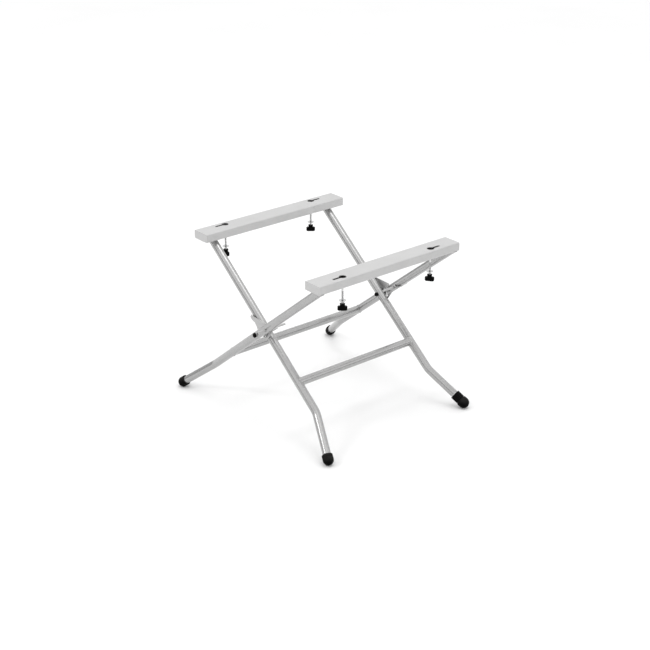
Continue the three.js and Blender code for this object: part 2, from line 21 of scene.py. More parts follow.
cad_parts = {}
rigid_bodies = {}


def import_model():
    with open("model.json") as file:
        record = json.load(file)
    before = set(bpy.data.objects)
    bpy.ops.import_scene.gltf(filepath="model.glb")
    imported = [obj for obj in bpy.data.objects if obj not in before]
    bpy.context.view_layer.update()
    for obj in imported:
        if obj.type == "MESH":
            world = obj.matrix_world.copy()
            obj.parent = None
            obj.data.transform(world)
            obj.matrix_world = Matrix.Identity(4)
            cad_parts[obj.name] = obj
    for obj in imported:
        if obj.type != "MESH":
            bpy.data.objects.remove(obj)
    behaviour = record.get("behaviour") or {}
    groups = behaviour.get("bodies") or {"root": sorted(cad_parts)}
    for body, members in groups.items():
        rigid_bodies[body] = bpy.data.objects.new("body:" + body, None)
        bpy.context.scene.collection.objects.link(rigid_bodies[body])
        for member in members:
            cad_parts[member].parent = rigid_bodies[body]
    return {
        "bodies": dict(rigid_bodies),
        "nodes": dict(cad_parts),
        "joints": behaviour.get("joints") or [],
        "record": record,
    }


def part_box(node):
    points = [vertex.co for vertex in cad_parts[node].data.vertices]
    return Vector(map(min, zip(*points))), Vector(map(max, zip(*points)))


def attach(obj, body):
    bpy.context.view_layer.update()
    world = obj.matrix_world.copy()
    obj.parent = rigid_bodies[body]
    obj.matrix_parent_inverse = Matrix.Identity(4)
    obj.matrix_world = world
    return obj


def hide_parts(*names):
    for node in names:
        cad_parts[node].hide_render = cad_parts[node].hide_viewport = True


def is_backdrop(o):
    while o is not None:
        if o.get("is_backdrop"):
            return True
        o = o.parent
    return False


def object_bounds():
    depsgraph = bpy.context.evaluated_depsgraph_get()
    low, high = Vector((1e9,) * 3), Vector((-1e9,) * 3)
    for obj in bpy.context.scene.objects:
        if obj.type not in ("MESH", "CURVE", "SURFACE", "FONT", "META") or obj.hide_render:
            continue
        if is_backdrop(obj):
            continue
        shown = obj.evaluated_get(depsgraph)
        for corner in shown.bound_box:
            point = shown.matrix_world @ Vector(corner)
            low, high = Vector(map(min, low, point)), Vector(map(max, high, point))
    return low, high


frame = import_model()

LOG = logging.getLogger("work_stand")
CAD_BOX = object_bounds()
MM = 0.001
FULL_TURN = 2 * math.pi
AXIS_Y = Vector((0, 1, 0))
AXIS_Z = Vector((0, 0, 1))

Outline = Sequence[tuple[float, float]]


# ---- Sizes -------------------------------------------------------------------------------------
def joint_place(name: str) -> Vector:
    """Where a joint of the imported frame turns.

    Args:
        name: The joint's name in the record.

    Returns:
        A point on the joint's axis.
    """
    joints = frame["record"]["behaviour"]["joints"]
    return Vector(next(joint["pos_m"] for joint in joints if joint["name"] == name))


@dataclass(frozen=True)
class Plan:
    """Driving sizes shared by all the parts of the stand."""

    slope: float = math.radians(38.6)
    bend: float = math.radians(18.8)
    bend_at: float = 297 * MM
    bend_radius: float = 70 * MM
    tube: float = 12.7 * MM
    tube_sides: int = 56
    wall: float = 1.5 * MM
    gap: float = 0.3 * MM
    pivot_bore: float = 4.3 * MM
    rivet_bore: float = 3.3 * MM
    keyhole_out: float = 12 * MM
    keyhole_y: float = 173 * MM

    @property
    def pivot(self) -> float:
        """Height of the hinge line."""
        return joint_place("fold").z

    @property
    def bar_bottom(self) -> float:
        """Height of the undersides of the bars."""
        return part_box("front_bar")[0].z

    @property
    def rivet(self) -> Vector:
        """The lever rivet's place in X and Z, on the hinge plane."""
        return joint_place("lever_squeeze_left")


PLAN = Plan()


class Side(Enum):
    """The two ends of the hinge line."""

    LEFT = ("left", -1)
    RIGHT = ("right", 1)

    @property
    def word(self) -> str:
        """The side's name in node names."""
        return self.value[0]

    @property
    def sign(self) -> int:
        """The side's direction along Y."""
        return self.value[1]


class Frame(Enum):
    """The two tubular frames: body name, lean of the legs, distance of the legs from the middle."""

    INNER = ("inner", 1, 230 * MM, 189 * MM)
    OUTER = ("outer", -1, 262.3 * MM, 176 * MM)

    @property
    def word(self) -> str:
        """The frame's name in node names."""
        return self.value[0]

    @property
    def body(self) -> str:
        """The frame's body."""
        return f"{self.value[0]}_frame"

    @property
    def lean(self) -> int:
        """The direction along X in which the frame's feet stand."""
        return self.value[1]

    @property
    def leg_y(self) -> float:
        """The legs' distance from the stand's middle."""
        return self.value[2]

    @property
    def crossbar_at(self) -> float:
        """The crossbar's distance below the hinge, along the legs."""
        return self.value[3]

    @property
    def bar(self) -> str:
        """The name of the bar that the frame carries."""
        return "rear" if self is Frame.INNER else "front"

    @property
    def down(self) -> Vector:
        """Unit vector down the straight part of a leg."""
        return Vector((self.lean * math.cos(PLAN.slope), 0, -math.sin(PLAN.slope)))


# ---- Hand modelling ----------------------------------------------------------------------------
class Primitive(Enum):
    """The starting shapes."""

    PLANE = "plane"
    CIRCLE = "circle"
    CUBE = "cube"
    CYLINDER = "cylinder"
    TORUS = "torus"


class Domain(Enum):
    """What is selected in edit mode."""

    VERT = "VERT"
    EDGE = "EDGE"
    FACE = "FACE"


def deselect() -> None:
    """Leave nothing selected, in object mode."""
    if bpy.context.mode != "OBJECT":
        bpy.ops.object.mode_set(mode="OBJECT")
    bpy.ops.object.select_all(action="DESELECT")


def rounded(corners: Sequence[tuple[float, ...]], closed: bool = True, steps: int = 4) -> Outline:
    """Round the corners of an outline.

    Args:
        corners: (x, y) or (x, y, radius) for each corner, in millimetres.
        closed: Whether the outline closes on itself.
        steps: Edges round each rounded corner.

    Returns:
        The outline's points, in metres.
    """
    points: list[tuple[float, float]] = []
    count = len(corners)
    for index, corner in enumerate(corners):
        here = Vector(corner[:2])
        radius = corner[2] if len(corner) > 2 else 0
        if not radius or (not closed and index in (0, count - 1)):
            points.append((here.x * MM, here.y * MM))
            continue
        before = Vector(corners[index - 1][:2]) - here
        after = Vector(corners[(index + 1) % count][:2]) - here
        half = before.angle(after) / 2
        reach = min(radius / math.tan(half), before.length / 2, after.length / 2)
        centre = here + (before.normalized() + after.normalized()).normalized() * (
            reach / math.cos(half))
        start = here + before.normalized() * reach - centre
        end = here + after.normalized() * reach - centre
        for step in range(steps + 1):
            arm = start.slerp(end, step / steps) * start.length
            points.append(((centre.x + arm.x) * MM, (centre.y + arm.y) * MM))
    return points


def looped(corners: Sequence[tuple[float, ...]]) -> Outline:
    """A rounded outline that ends where it starts, for a turned ring."""
    points = list(rounded(corners))
    return [*points, points[0]]


def ball_arc(radius: float) -> Outline:
    """The underside of a ball, from its lowest point to just below its widest."""
    turns = [math.radians(step) for step in range(0, 85, 7)]
    return [(radius * math.sin(turn), -radius * math.cos(turn)) for turn in turns]


class Piece:
    """One mesh object that is worked by hand operations, in the stand's own frame."""

    def __init__(self, name: str, start: Primitive, **settings: object) -> None:
        """Add a primitive at its size and place.

        Args:
            name: The object's name.
            start: The starting shape.
            settings: What the primitive's operator takes.
        """
        deselect()
        getattr(bpy.ops.mesh, f"primitive_{start.value}_add")(**settings)
        self.obj = bpy.context.object
        self.obj.name = name
        self.settle()

    def focus(self) -> None:
        """Make this the only selected object, and the active one."""
        deselect()
        self.obj.select_set(True)
        bpy.context.view_layer.objects.active = self.obj

    def settle(self) -> None:
        """Put the object's place into its mesh."""
        self.focus()
        bpy.ops.object.transform_apply(location=True, rotation=True, scale=True)

    @contextmanager
    def editing(self, domain: Domain = Domain.FACE, everything: bool = False) -> Iterator[None]:
        """Edit mode on this piece alone.

        Args:
            domain: What is selected.
            everything: Start with all selected, and with nothing otherwise.
        """
        self.focus()
        bpy.ops.object.mode_set(mode="EDIT")
        bpy.ops.mesh.select_mode(type=domain.value)
        bpy.ops.mesh.select_all(action="SELECT" if everything else "DESELECT")
        try:
            yield
        finally:
            bpy.ops.object.mode_set(mode="OBJECT")

    def pick(self, domain: Domain, test: Callable[[object], bool]) -> int:
        """Select the vertices, edges or faces that pass a test, in edit mode.

        Args:
            domain: Which of them.
            test: Takes a bmesh item.

        Returns:
            How many were selected.
        """
        bpy.ops.mesh.select_all(action="DESELECT")
        mesh = bmesh.from_edit_mesh(self.obj.data)
        items = {Domain.VERT: mesh.verts, Domain.EDGE: mesh.edges, Domain.FACE: mesh.faces}
        chosen = [item for item in items[domain] if test(item)]
        for item in chosen:
            item.select_set(True)
        bmesh.update_edit_mesh(self.obj.data)
        return len(chosen)

    def reshape(self, move: Callable[[Vector], Vector]) -> "Piece":
        """Move every vertex by a rule.

        Args:
            move: Takes a vertex's place and gives its new one.

        Returns:
            The piece.
        """
        for vertex in self.obj.data.vertices:
            vertex.co = move(vertex.co.copy())
        return self

    def modify(self, kind: str, **settings: object) -> "Piece":
        """Add a modifier and apply it.

        Args:
            kind: The modifier's type.
            settings: Its properties.

        Returns:
            The piece.
        """
        self.focus()
        modifier = self.obj.modifiers.new(kind.title(), kind)
        for key, value in settings.items():
            setattr(modifier, key, value)
        bpy.ops.object.modifier_apply(modifier=modifier.name)
        return self

    def tidy_normals(self) -> "Piece":
        """Merge doubled vertices and point the faces outwards."""
        with self.editing(everything=True):
            bpy.ops.mesh.remove_doubles(threshold=1e-6)
            bpy.ops.mesh.normals_make_consistent(inside=False)
        return self

    def close(self) -> "Piece":
        """Fill every open edge loop."""
        with self.editing(Domain.EDGE):
            if self.pick(Domain.EDGE, lambda edge: edge.is_boundary):
                bpy.ops.mesh.fill_holes(sides=0)
        return self.tidy_normals()

    @staticmethod
    def extrude(run: Vector) -> None:
        """Extrude what is selected along a vector, in edit mode."""
        bpy.ops.mesh.extrude_region_move(TRANSFORM_OT_translate={"value": run})

    def bevel_edges(self, test: Callable[[object], bool], width: float, segments: int) -> None:
        """Round the edges that pass a test, in edit mode.

        Args:
            test: Takes a bmesh edge.
            width: The bevel's width.
            segments: Faces across it.
        """
        self.pick(Domain.EDGE, test)
        bpy.ops.mesh.bevel(offset=width, segments=segments, affect="EDGES")

    def hollow(self, wall: float) -> "Piece":
        """Give an open shell a wall, on its inner side."""
        return self.tidy_normals().modify("SOLIDIFY", thickness=wall, offset=-1, use_rim=True)

    def bevel(self, width: float, segments: int = 2, angle: float = 30) -> "Piece":
        """Round the sharp edges.

        Args:
            width: The bevel's width.
            segments: Faces across it.
            angle: The least angle of an edge that is bevelled, in degrees.

        Returns:
            The piece.
        """
        return self.modify("BEVEL", width=width, segments=segments, limit_method="ANGLE",
                           angle_limit=math.radians(angle), use_clamp_overlap=True)

    def combine(self, other: "Piece", operation: str = "DIFFERENCE") -> "Piece":
        """Cut another piece from this one or join the two, and remove the other.

        Args:
            other: The cutter, or the piece that is joined on.
            operation: DIFFERENCE or UNION.

        Returns:
            The piece.
        """
        self.modify("BOOLEAN", object=other.obj, operation=operation, solver="EXACT")
        bpy.data.objects.remove(other.obj)
        return self

    def absorb(self, other: "Piece") -> "Piece":
        """Take another piece's mesh into this object as a separate shell."""
        self.focus()
        other.obj.select_set(True)
        bpy.ops.object.join()
        return self

    def place(self, matrix: Matrix) -> "Piece":
        """Move the piece, and turn its faces the right way if that mirrored it."""
        self.obj.matrix_world = matrix
        self.settle()
        return self.tidy_normals() if matrix.determinant() < 0 else self

    def copy(self, name: str, matrix: Matrix) -> "Piece":
        """A placed copy with a mesh of its own.

        Args:
            name: The copy's name.
            matrix: Where it goes.

        Returns:
            The new piece.
        """
        twin = object.__new__(Piece)
        twin.obj = self.obj.copy()
        twin.obj.data = self.obj.data.copy()
        twin.obj.name = name
        bpy.context.collection.objects.link(twin.obj)
        return twin.place(matrix)

    @classmethod
    def wire(cls, name: str, points: Sequence[Vector]) -> "Piece":
        """A chain of edges through some points, drawn by extruding one vertex."""
        piece = cls(name, Primitive.PLANE, size=MM)
        with piece.editing(Domain.VERT, everything=True):
            bpy.ops.mesh.merge(type="CENTER")
            bpy.ops.transform.translate(value=points[0])
            for start, end in zip(points, points[1:]):
                cls.extrude(end - start)
        return piece

    @classmethod
    def turned(cls, name: str, profile: Outline, steps: int = 48) -> "Piece":
        """A piece turned about the Z axis.

        Args:
            name: The object's name.
            profile: (radius, height) points. It ends on the axis or closes on itself.
            steps: Sides round the piece.

        Returns:
            The closed piece.
        """
        piece = cls.wire(name, [Vector((radius, 0, height)) for radius, height in profile])
        with piece.editing(Domain.EDGE, everything=True):
            bpy.ops.mesh.spin(steps=steps, angle=FULL_TURN, center=(0, 0, 0), axis=AXIS_Z)
        return piece.tidy_normals()

    @classmethod
    def sheet(cls, name: str, outline: Outline, thickness: float, at: float) -> "Piece":
        """A plate cut from sheet, standing in X and Z.

        Args:
            name: The object's name.
            outline: (x, z) points round it.
            thickness: The sheet's thickness, along +Y.
            at: The near face's place along Y.

        Returns:
            The closed plate.
        """
        points = [Vector((x, at, z)) for x, z in outline]
        piece = cls.wire(name, [*points, points[0]])
        with piece.editing(Domain.VERT, everything=True):
            bpy.ops.mesh.remove_doubles(threshold=1e-6)
            bpy.ops.mesh.select_all(action="SELECT")
            bpy.ops.mesh.edge_face_add()
            cls.extrude(AXIS_Y * thickness)
        return piece.tidy_normals()

    @classmethod
    def rod(cls, radius: float, start: Vector, end: Vector, sides: int = 32) -> "Piece":
        """A plain round bar between two points, used as a cutter."""
        along = end - start
        turn = along.to_track_quat("Z", "Y").to_euler()
        return cls("rod", Primitive.CYLINDER, vertices=sides, radius=radius, depth=along.length,
                   location=(start + end) / 2, rotation=turn)

    def fold_out(self, face: Callable[[object], bool], centre: Vector, axis: Vector,
                 angle: float, run: Vector) -> "Piece":
        """Bend a flange out of a plate's edge and run it on.

        Args:
            face: Picks the edge face that the flange grows from.
            centre: A point on the line that it bends about.
            axis: The direction of that line.
            angle: How far it bends.
            run: The straight part after the bend.

        Returns:
            The piece.
        """
        with self.editing(Domain.FACE):
            if self.pick(Domain.FACE, face):
                bpy.ops.mesh.spin(steps=5, angle=angle, center=centre, axis=axis)
                self.extrude(run)
        return self.tidy_normals()


def facing(direction: Vector, at: Vector | None = None, near: float = 1.0) -> Callable:
    """A test for faces that look one way, close to a point.

    Args:
        direction: The way that they look.
        at: A point that their middles are near.
        near: How near.

    Returns:
        The test.
    """
    def test(face: object) -> bool:
        """Whether this face is one of them."""
        close = at is None or (face.calc_center_median() - at).length < near
        return close and face.normal.dot(direction.normalized()) > 0.9

    return test


# ---- Shader building ---------------------------------------------------------------------------
class Value:
    """A number in a material. Arithmetic on it adds Math nodes."""

    def __init__(self, paint: "Paint", socket: bpy.types.NodeSocket) -> None:
        """Wrap an output socket of a material."""
        self.paint = paint
        self.socket = socket

    def _math(self, operation: str, *terms: object) -> "Value":
        """One Math node over these terms."""
        inputs = dict(enumerate(terms))
        return self.paint.node("ShaderNodeMath", {"operation": operation}, inputs)

    def __add__(self, other: object) -> "Value":
        """Sum."""
        return self._math("ADD", self, other)

    def __mul__(self, other: object) -> "Value":
        """Product."""
        return self._math("MULTIPLY", self, other)

    def at_least(self, other: object) -> "Value":
        """The greater of the two."""
        return self._math("MAXIMUM", self, other)

    __radd__ = __add__
    __rmul__ = __mul__


class Paint:
    """A material's node tree, with its shader and the pattern space of its piece."""

    def __init__(self, name: str, roughness: float, metallic: float, **constants: object) -> None:
        """Start a material.

        Args:
            name: The material's name.
            roughness: The shader's roughness, if nothing is linked to it.
            metallic: The shader's metallic value.
            constants: Other constant inputs of the shader, by name with _ for a space.
        """
        self.material = bpy.data.materials.new(name)
        self.material.use_nodes = True
        self.tree = self.material.node_tree
        self.shader = self.tree.nodes["Principled BSDF"]
        self.shader.inputs["Roughness"].default_value = roughness
        self.shader.inputs["Metallic"].default_value = metallic
        for key, value in constants.items():
            self.shader.inputs[key.replace("_", " ")].default_value = value
        self.space = self.node("ShaderNodeTexCoord", {}, {}, "Object")

    def node(self, kind: str, settings: dict, inputs: dict, output: object = 0) -> Value:
        """Add a node.

        Args:
            kind: The node's type.
            settings: Properties, set first. "stops" are a colour ramp's (place, colour) pairs.
            inputs: Values or links by socket name or number.
            output: The output socket that is wanted.

        Returns:
            That output.
        """
        node = self.tree.nodes.new(kind)
        for key, value in settings.items():
            if key == "stops":
                self.set_stops(node.color_ramp, value)
            else:
                setattr(node, key, value)
        for key, value in inputs.items():
            if isinstance(value, Value):
                self.tree.links.new(value.socket, node.inputs[key])
            else:
                node.inputs[key].default_value = value
        return Value(self, node.outputs[output])

    @staticmethod
    def set_stops(ramp: bpy.types.ColorRamp, stops: Sequence[tuple[float, object]]) -> None:
        """Give a colour ramp its stops, as greys or colours."""
        while len(ramp.elements) < len(stops):
            ramp.elements.new(1.0)
        for element, (place, shade) in zip(ramp.elements, stops):
            element.position = place
            color = (shade,) * 3 if isinstance(shade, (int, float)) else shade
            element.color = (*color, 1)

    def noise(self, size: float, detail: float = 3, stretch: Vector = Vector((1, 1, 1)),
              shift: float = 0) -> Value:
        """Soft noise with features of one size.

        Args:
            size: The features' size.
            detail: Octaves.
            stretch: How many times longer they are along each axis.
            shift: Moves the pattern, so that two differ.

        Returns:
            The noise, about 0.5.
        """
        scale = Vector([1 / (size * times) for times in stretch])
        place = self.node("ShaderNodeMapping", {},
                          {"Vector": self.space, "Location": (shift,) * 3, "Scale": scale})
        return self.node("ShaderNodeTexNoise", {}, {"Vector": place, "Scale": 1.0,
                                                    "Detail": detail, "Roughness": 0.55}, "Fac")

    def ramp(self, value: Value, *stops: tuple[float, object]) -> Value:
        """Shape a value with a colour ramp."""
        return self.node("ShaderNodeValToRGB", {"stops": stops}, {"Fac": value}, "Color")

    def mix(self, mask: Value, low: object, high: object) -> Value:
        """Mix two colours by a mask."""
        return self.node("ShaderNodeMix", {"data_type": "RGBA"},
                         {"Factor": mask, 6: low, 7: high}, 2)

    def link(self, value: Value, name: str) -> None:
        """Feed a value to the shader."""
        self.tree.links.new(value.socket, self.shader.inputs[name])

    def bump(self, height: Value, depth: float, below: Value | None = None) -> Value:
        """Raise the surface by a height map.

        Args:
            height: The map, 0 to 1.
            depth: The relief's real depth.
            below: A coarser relief that it lies on.

        Returns:
            The normal.
        """
        inputs: dict = {"Height": height, "Distance": depth, "Strength": 1.0}
        if below is not None:
            inputs["Normal"] = below
        return self.node("ShaderNodeBump", {}, inputs, "Normal")


def shade(grey: float, warmth: float = 0.0) -> tuple[float, float, float, float]:
    """A near-neutral linear colour."""
    return (grey * (1 + warmth), grey, grey * (1 - warmth), 1.0)


@dataclass(frozen=True)
class PowderCoat:
    """Satin silver-grey powder coat: orange peel, faint mottling and scuffs."""

    name: str
    grey: float = 0.40
    roughness: float = 0.22
    metallic: float = 0.75
    peel_size: float = 2.2 * MM
    peel_depth: float = 0.016 * MM

    def material(self) -> bpy.types.Material:
        """Build the material."""
        paint = Paint(self.name, self.roughness, self.metallic, Coat_Weight=0.15,
                      Coat_Roughness=0.18)
        clouds = paint.noise(60 * MM, 4)
        flake = paint.noise(0.35 * MM, 2, shift=3)
        scuffs = paint.ramp(paint.noise(9 * MM, 6, Vector((1, 4, 1)), shift=9),
                            (0.62, 0.0), (0.72, 1.0))
        tone = paint.ramp(clouds, (0.3, shade(self.grey * 0.955, 0.004)[:3]),
                          (0.7, shade(self.grey * 1.03, 0.002)[:3]))
        sparkle = paint.mix(paint.ramp(flake, (0.45, 0.0), (0.75, 0.14)), tone,
                            shade(self.grey * 1.3))
        paint.link(paint.mix(scuffs * 0.10, sparkle, shade(self.grey * 0.8, 0.01)), "Base Color")
        paint.link(clouds * 0.10 + (self.roughness - 0.05) + scuffs * 0.09, "Roughness")
        peel = paint.bump(paint.noise(self.peel_size, 2, shift=5), self.peel_depth)
        paint.link(paint.bump(flake, 0.003 * MM, peel), "Normal")
        return paint.material


@dataclass(frozen=True)
class ZincPlate:
    """Bright or dull zinc-plated steel with fine turning marks and cloudy passivation."""

    name: str
    grey: float = 0.62
    roughness: float = 0.24
    warmth: float = 0.01

    def material(self) -> bpy.types.Material:
        """Build the material."""
        paint = Paint(self.name, self.roughness, 1.0)
        clouds = paint.noise(5 * MM, 4)
        marks = paint.noise(0.25 * MM, 3, Vector((6, 6, 1)), shift=2)
        tone = paint.ramp(clouds, (0.3, shade(self.grey * 0.82, self.warmth)[:3]),
                          (0.7, shade(self.grey * 1.1, -0.01)[:3]))
        paint.link(paint.mix(marks * 0.25, tone, shade(self.grey * 0.7)), "Base Color")
        paint.link(clouds * 0.16 + marks * 0.08 + (self.roughness - 0.1), "Roughness")
        paint.link(paint.bump(marks, 0.004 * MM), "Normal")
        return paint.material


@dataclass(frozen=True)
class MouldedPlastic:
    """Black moulded plastic or rubber with a fine spark-eroded grain, dust specks, and a grey bloom
    on upward faces that is part dust, part painted sheen.
    """

    name: str
    grey: float = 0.001
    roughness: float = 0.34
    grain_size: float = 0.45 * MM
    grain_depth: float = 0.02 * MM
    # Strength of the grey bloom: dust, and on upward faces also a painted sheen.
    dust: float = 0.06

    def material(self) -> bpy.types.Material:
        """Build the material."""
        paint = Paint(self.name, self.roughness, 0.0, Specular_IOR_Level=0.04)
        clouds = paint.noise(11 * MM, 5)
        grain = paint.noise(self.grain_size, 2, shift=4)
        specks = paint.ramp(paint.noise(1.1 * MM, 4, shift=7), (0.6, 0.0), (0.75, 1.0))
        # Upward faces are lightened towards grey. This is partly settled dust and partly a painted
        # sheen standing in for the top highlight; the random specks are dust.
        upward = paint.node("ShaderNodeSeparateXYZ", {}, {
            0: paint.node("ShaderNodeNewGeometry", {}, {}, "Normal")}, "Z").at_least(0.0)
        dust_and_sheen = (upward * clouds + specks * 0.35) * self.dust
        paint.link(paint.mix(dust_and_sheen, shade(self.grey), shade(0.22, 0.03)), "Base Color")
        paint.link(clouds * 0.14 + (self.roughness - 0.07) + dust_and_sheen, "Roughness")
        paint.link(paint.bump(grain, self.grain_depth), "Normal")
        return paint.material


@dataclass(frozen=True)
class Plaster:
    """The pale studio floor."""

    name: str = "studio_floor"
    grey: float = 0.86

    def material(self) -> bpy.types.Material:
        """Build the material."""
        paint = Paint(self.name, 0.85, 0.0)
        tone = paint.ramp(paint.noise(0.6, 3), (0.3, self.grey * 0.99), (0.7, self.grey * 1.01))
        paint.link(tone, "Base Color")
        return paint.material


class Finish(Enum):
    """The stand's finishes, with the record's slot that each belongs to."""

    BAR_PAINT = ("silver_paint", PowderCoat("bar_paint", grey=0.49, roughness=0.34, metallic=0.3))
    TUBE_PAINT = ("silver_paint", PowderCoat("tube_paint"))
    WELD_PAINT = ("silver_paint", PowderCoat("weld_paint", grey=0.41, roughness=0.42,
                                             peel_size=1.1 * MM, peel_depth=0.05 * MM))
    PLATE_PAINT = ("silver_paint", PowderCoat("plate_paint", grey=0.48, roughness=0.4))
    ZINC = ("zinc", ZincPlate("bright_zinc"))
    DULL_ZINC = ("dark_zinc", ZincPlate("dull_zinc", grey=0.3, roughness=0.36))
    PLASTIC = ("black_plastic", MouldedPlastic("moulded_black"))
    # The rubber's stronger bloom paints a sheen on the tops of the ball feet as well as dust.
    RUBBER = ("rubber", MouldedPlastic("black_rubber", roughness=0.48,
                                       grain_size=0.8 * MM, grain_depth=0.04 * MM, dust=0.16))

    @property
    def slot(self) -> str:
        """The record's material slot."""
        return self.value[0]

    @cache
    def material(self) -> bpy.types.Material:
        """The finish's material, built once."""
        return self.value[1].material()


def hand_over(piece: Piece, body: str, finish: Finish, *nodes: str, angle: float = 35,
              flat: bool = False) -> None:
    """Shade and dress a finished piece, hang it on its body and log it.

    Args:
        piece: The finished piece.
        body: The body that it rides on.
        finish: Its finish.
        nodes: The CAD nodes that it stands for.
        angle: Edges sharper than this stay sharp, in degrees.
        flat: Whether its broad flat faces are kept flat in the shading.
    """
    piece.focus()
    bpy.ops.object.shade_smooth_by_angle(angle=math.radians(angle))
    if flat:
        piece.modify("WEIGHTED_NORMAL", keep_sharp=True, weight=100)
    data = piece.obj.data
    data.materials.clear()
    data.materials.append(finish.material())
    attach(piece.obj, body)
    finish.slot
    if nodes:
        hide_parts(*nodes)
    LOG.info("%s: %d faces on %s", piece.obj.name, len(data.polygons), body)


# ---- Frames ------------------------------------------------------------------------------------
@dataclass
class Leg:
    """One bent leg tube, from the bar's underside to its foot."""

    frame: Frame
    side: Side
    foot_end: float
    bend_steps: int = 14

    @property
    def crossing(self) -> Vector:
        """Where the leg's axis passes the hinge."""
        return Vector((0, self.side.sign * self.frame.leg_y, PLAN.pivot))

    @property
    def footward(self) -> Vector:
        """Unit vector down the bent end."""
        straight = self.frame.down * math.cos(PLAN.bend)
        return straight + AXIS_Y * (self.side.sign * math.sin(PLAN.bend))

    def foot_point(self, distance: float) -> Vector:
        """A point on the bent end, a distance past the corner of the bend."""
        return self.crossing + self.frame.down * PLAN.bend_at + self.footward * distance

    def foot_matrix(self, distance: float) -> Matrix:
        """A frame at a point on the bent end, with its Z axis pointing up the leg."""
        turn = (-self.footward).to_track_quat("Z", "Y").to_matrix().to_4x4()
        return Matrix.Translation(self.foot_point(distance)) @ turn

    def top(self) -> Vector:
        """Where the leg's axis meets the bar's underside."""
        rise = (PLAN.bar_bottom - PLAN.pivot) / math.sin(PLAN.slope)
        return self.crossing - self.frame.down * rise

    def _tube(self) -> Piece:
        """The closed tube before its top is mitred and its holes are drilled."""
        down = self.frame.down
        start = self.top() - down * 2.5 * PLAN.tube
        trim = PLAN.bend_radius * math.tan(PLAN.bend / 2)
        bend_start = self.crossing + down * (PLAN.bend_at - trim)
        out = AXIS_Y * self.side.sign
        piece = Piece(f"{self.frame.word}_leg_tube_{self.side.word}", Primitive.CIRCLE,
                      vertices=PLAN.tube_sides, radius=PLAN.tube, fill_type="NOTHING",
                      location=start, rotation=down.to_track_quat("Z", "Y").to_euler())
        with piece.editing(Domain.EDGE, everything=True):
            piece.extrude(bend_start - start)
            bpy.ops.mesh.spin(steps=self.bend_steps, angle=-PLAN.bend,
                              center=bend_start + out * PLAN.bend_radius, axis=down.cross(out))
            piece.extrude(self.foot_point(self.foot_end) - self.foot_point(trim))
        return piece.hollow(PLAN.wall)

    def _mitre(self, piece: Piece) -> None:
        """Cut the tube level under the bar and close the cut wall."""
        level = PLAN.bar_bottom - PLAN.gap
        with piece.editing(everything=True):
            bpy.ops.mesh.bisect(plane_co=(0, 0, level), plane_no=(0, 0, 1), clear_outer=True)
        with piece.editing(Domain.EDGE):
            piece.pick(Domain.EDGE, lambda edge: edge.is_boundary)
            bpy.ops.mesh.bridge_edge_loops()
        piece.tidy_normals()

    def _drill(self, piece: Piece, x: float, z: float, radius: float) -> None:
        """Drill a hole across the tube, along Y."""
        reach = AXIS_Y * 2 * PLAN.tube
        middle = Vector((x, self.crossing.y, z))
        piece.combine(Piece.rod(radius, middle - reach, middle + reach))

    def build(self) -> None:
        """Make the leg with its holes and the weld under its bar."""
        piece = self._tube()
        self._mitre(piece)
        self._drill(piece, 0, PLAN.pivot, PLAN.pivot_bore)
        if self.frame is Frame.OUTER:
            self._drill(piece, PLAN.rivet.x, PLAN.rivet.z, PLAN.rivet_bore)
        node = f"{self.frame.word}_leg_{self.side.word}"
        hand_over(piece, self.frame.body, Finish.TUBE_PAINT, node)
        self._top_weld()

    def _top_weld(self) -> None:
        """The fillet weld where the mitred tube meets the bar."""
        radius = PLAN.tube - 0.3 * MM
        bead = weld_bead(f"{self.frame.word}_top_weld_{self.side.word}", radius, 1.1 * MM, 26)
        squeeze, drop = 0.97, 0.5 * MM
        oval = Matrix.Diagonal((squeeze / math.sin(PLAN.slope), 1, 1, 1))
        bead.place(Matrix.Translation(self.top() - AXIS_Z * drop) @ oval)
        hand_over(bead, self.frame.body, Finish.WELD_PAINT)


def weld_bead(name: str, radius: float, half_width: float, ripples: int) -> Piece:
    """A ring of weld round the Z axis, laid in a run of overlapping ripples.

    Args:
        name: The object's name.
        radius: The ring's radius.
        half_width: The bead's own radius.
        ripples: How many there are round it.

    Returns:
        The bead.
    """
    bead = Piece(name, Primitive.TORUS, major_radius=radius, minor_radius=half_width,
                 major_segments=96, minor_segments=10)

    def move(place: Vector) -> Vector:
        """One vertex, swollen or shrunk about the ring's centre line."""
        turn = math.atan2(place.y, place.x)
        core = Vector((math.cos(turn), math.sin(turn), 0)) * radius
        wave = abs(math.sin(turn * ripples / 2))
        return core + (place - core) * (0.82 + 0.22 * wave + 0.05 * math.sin(5 * turn))

    return bead.reshape(move)


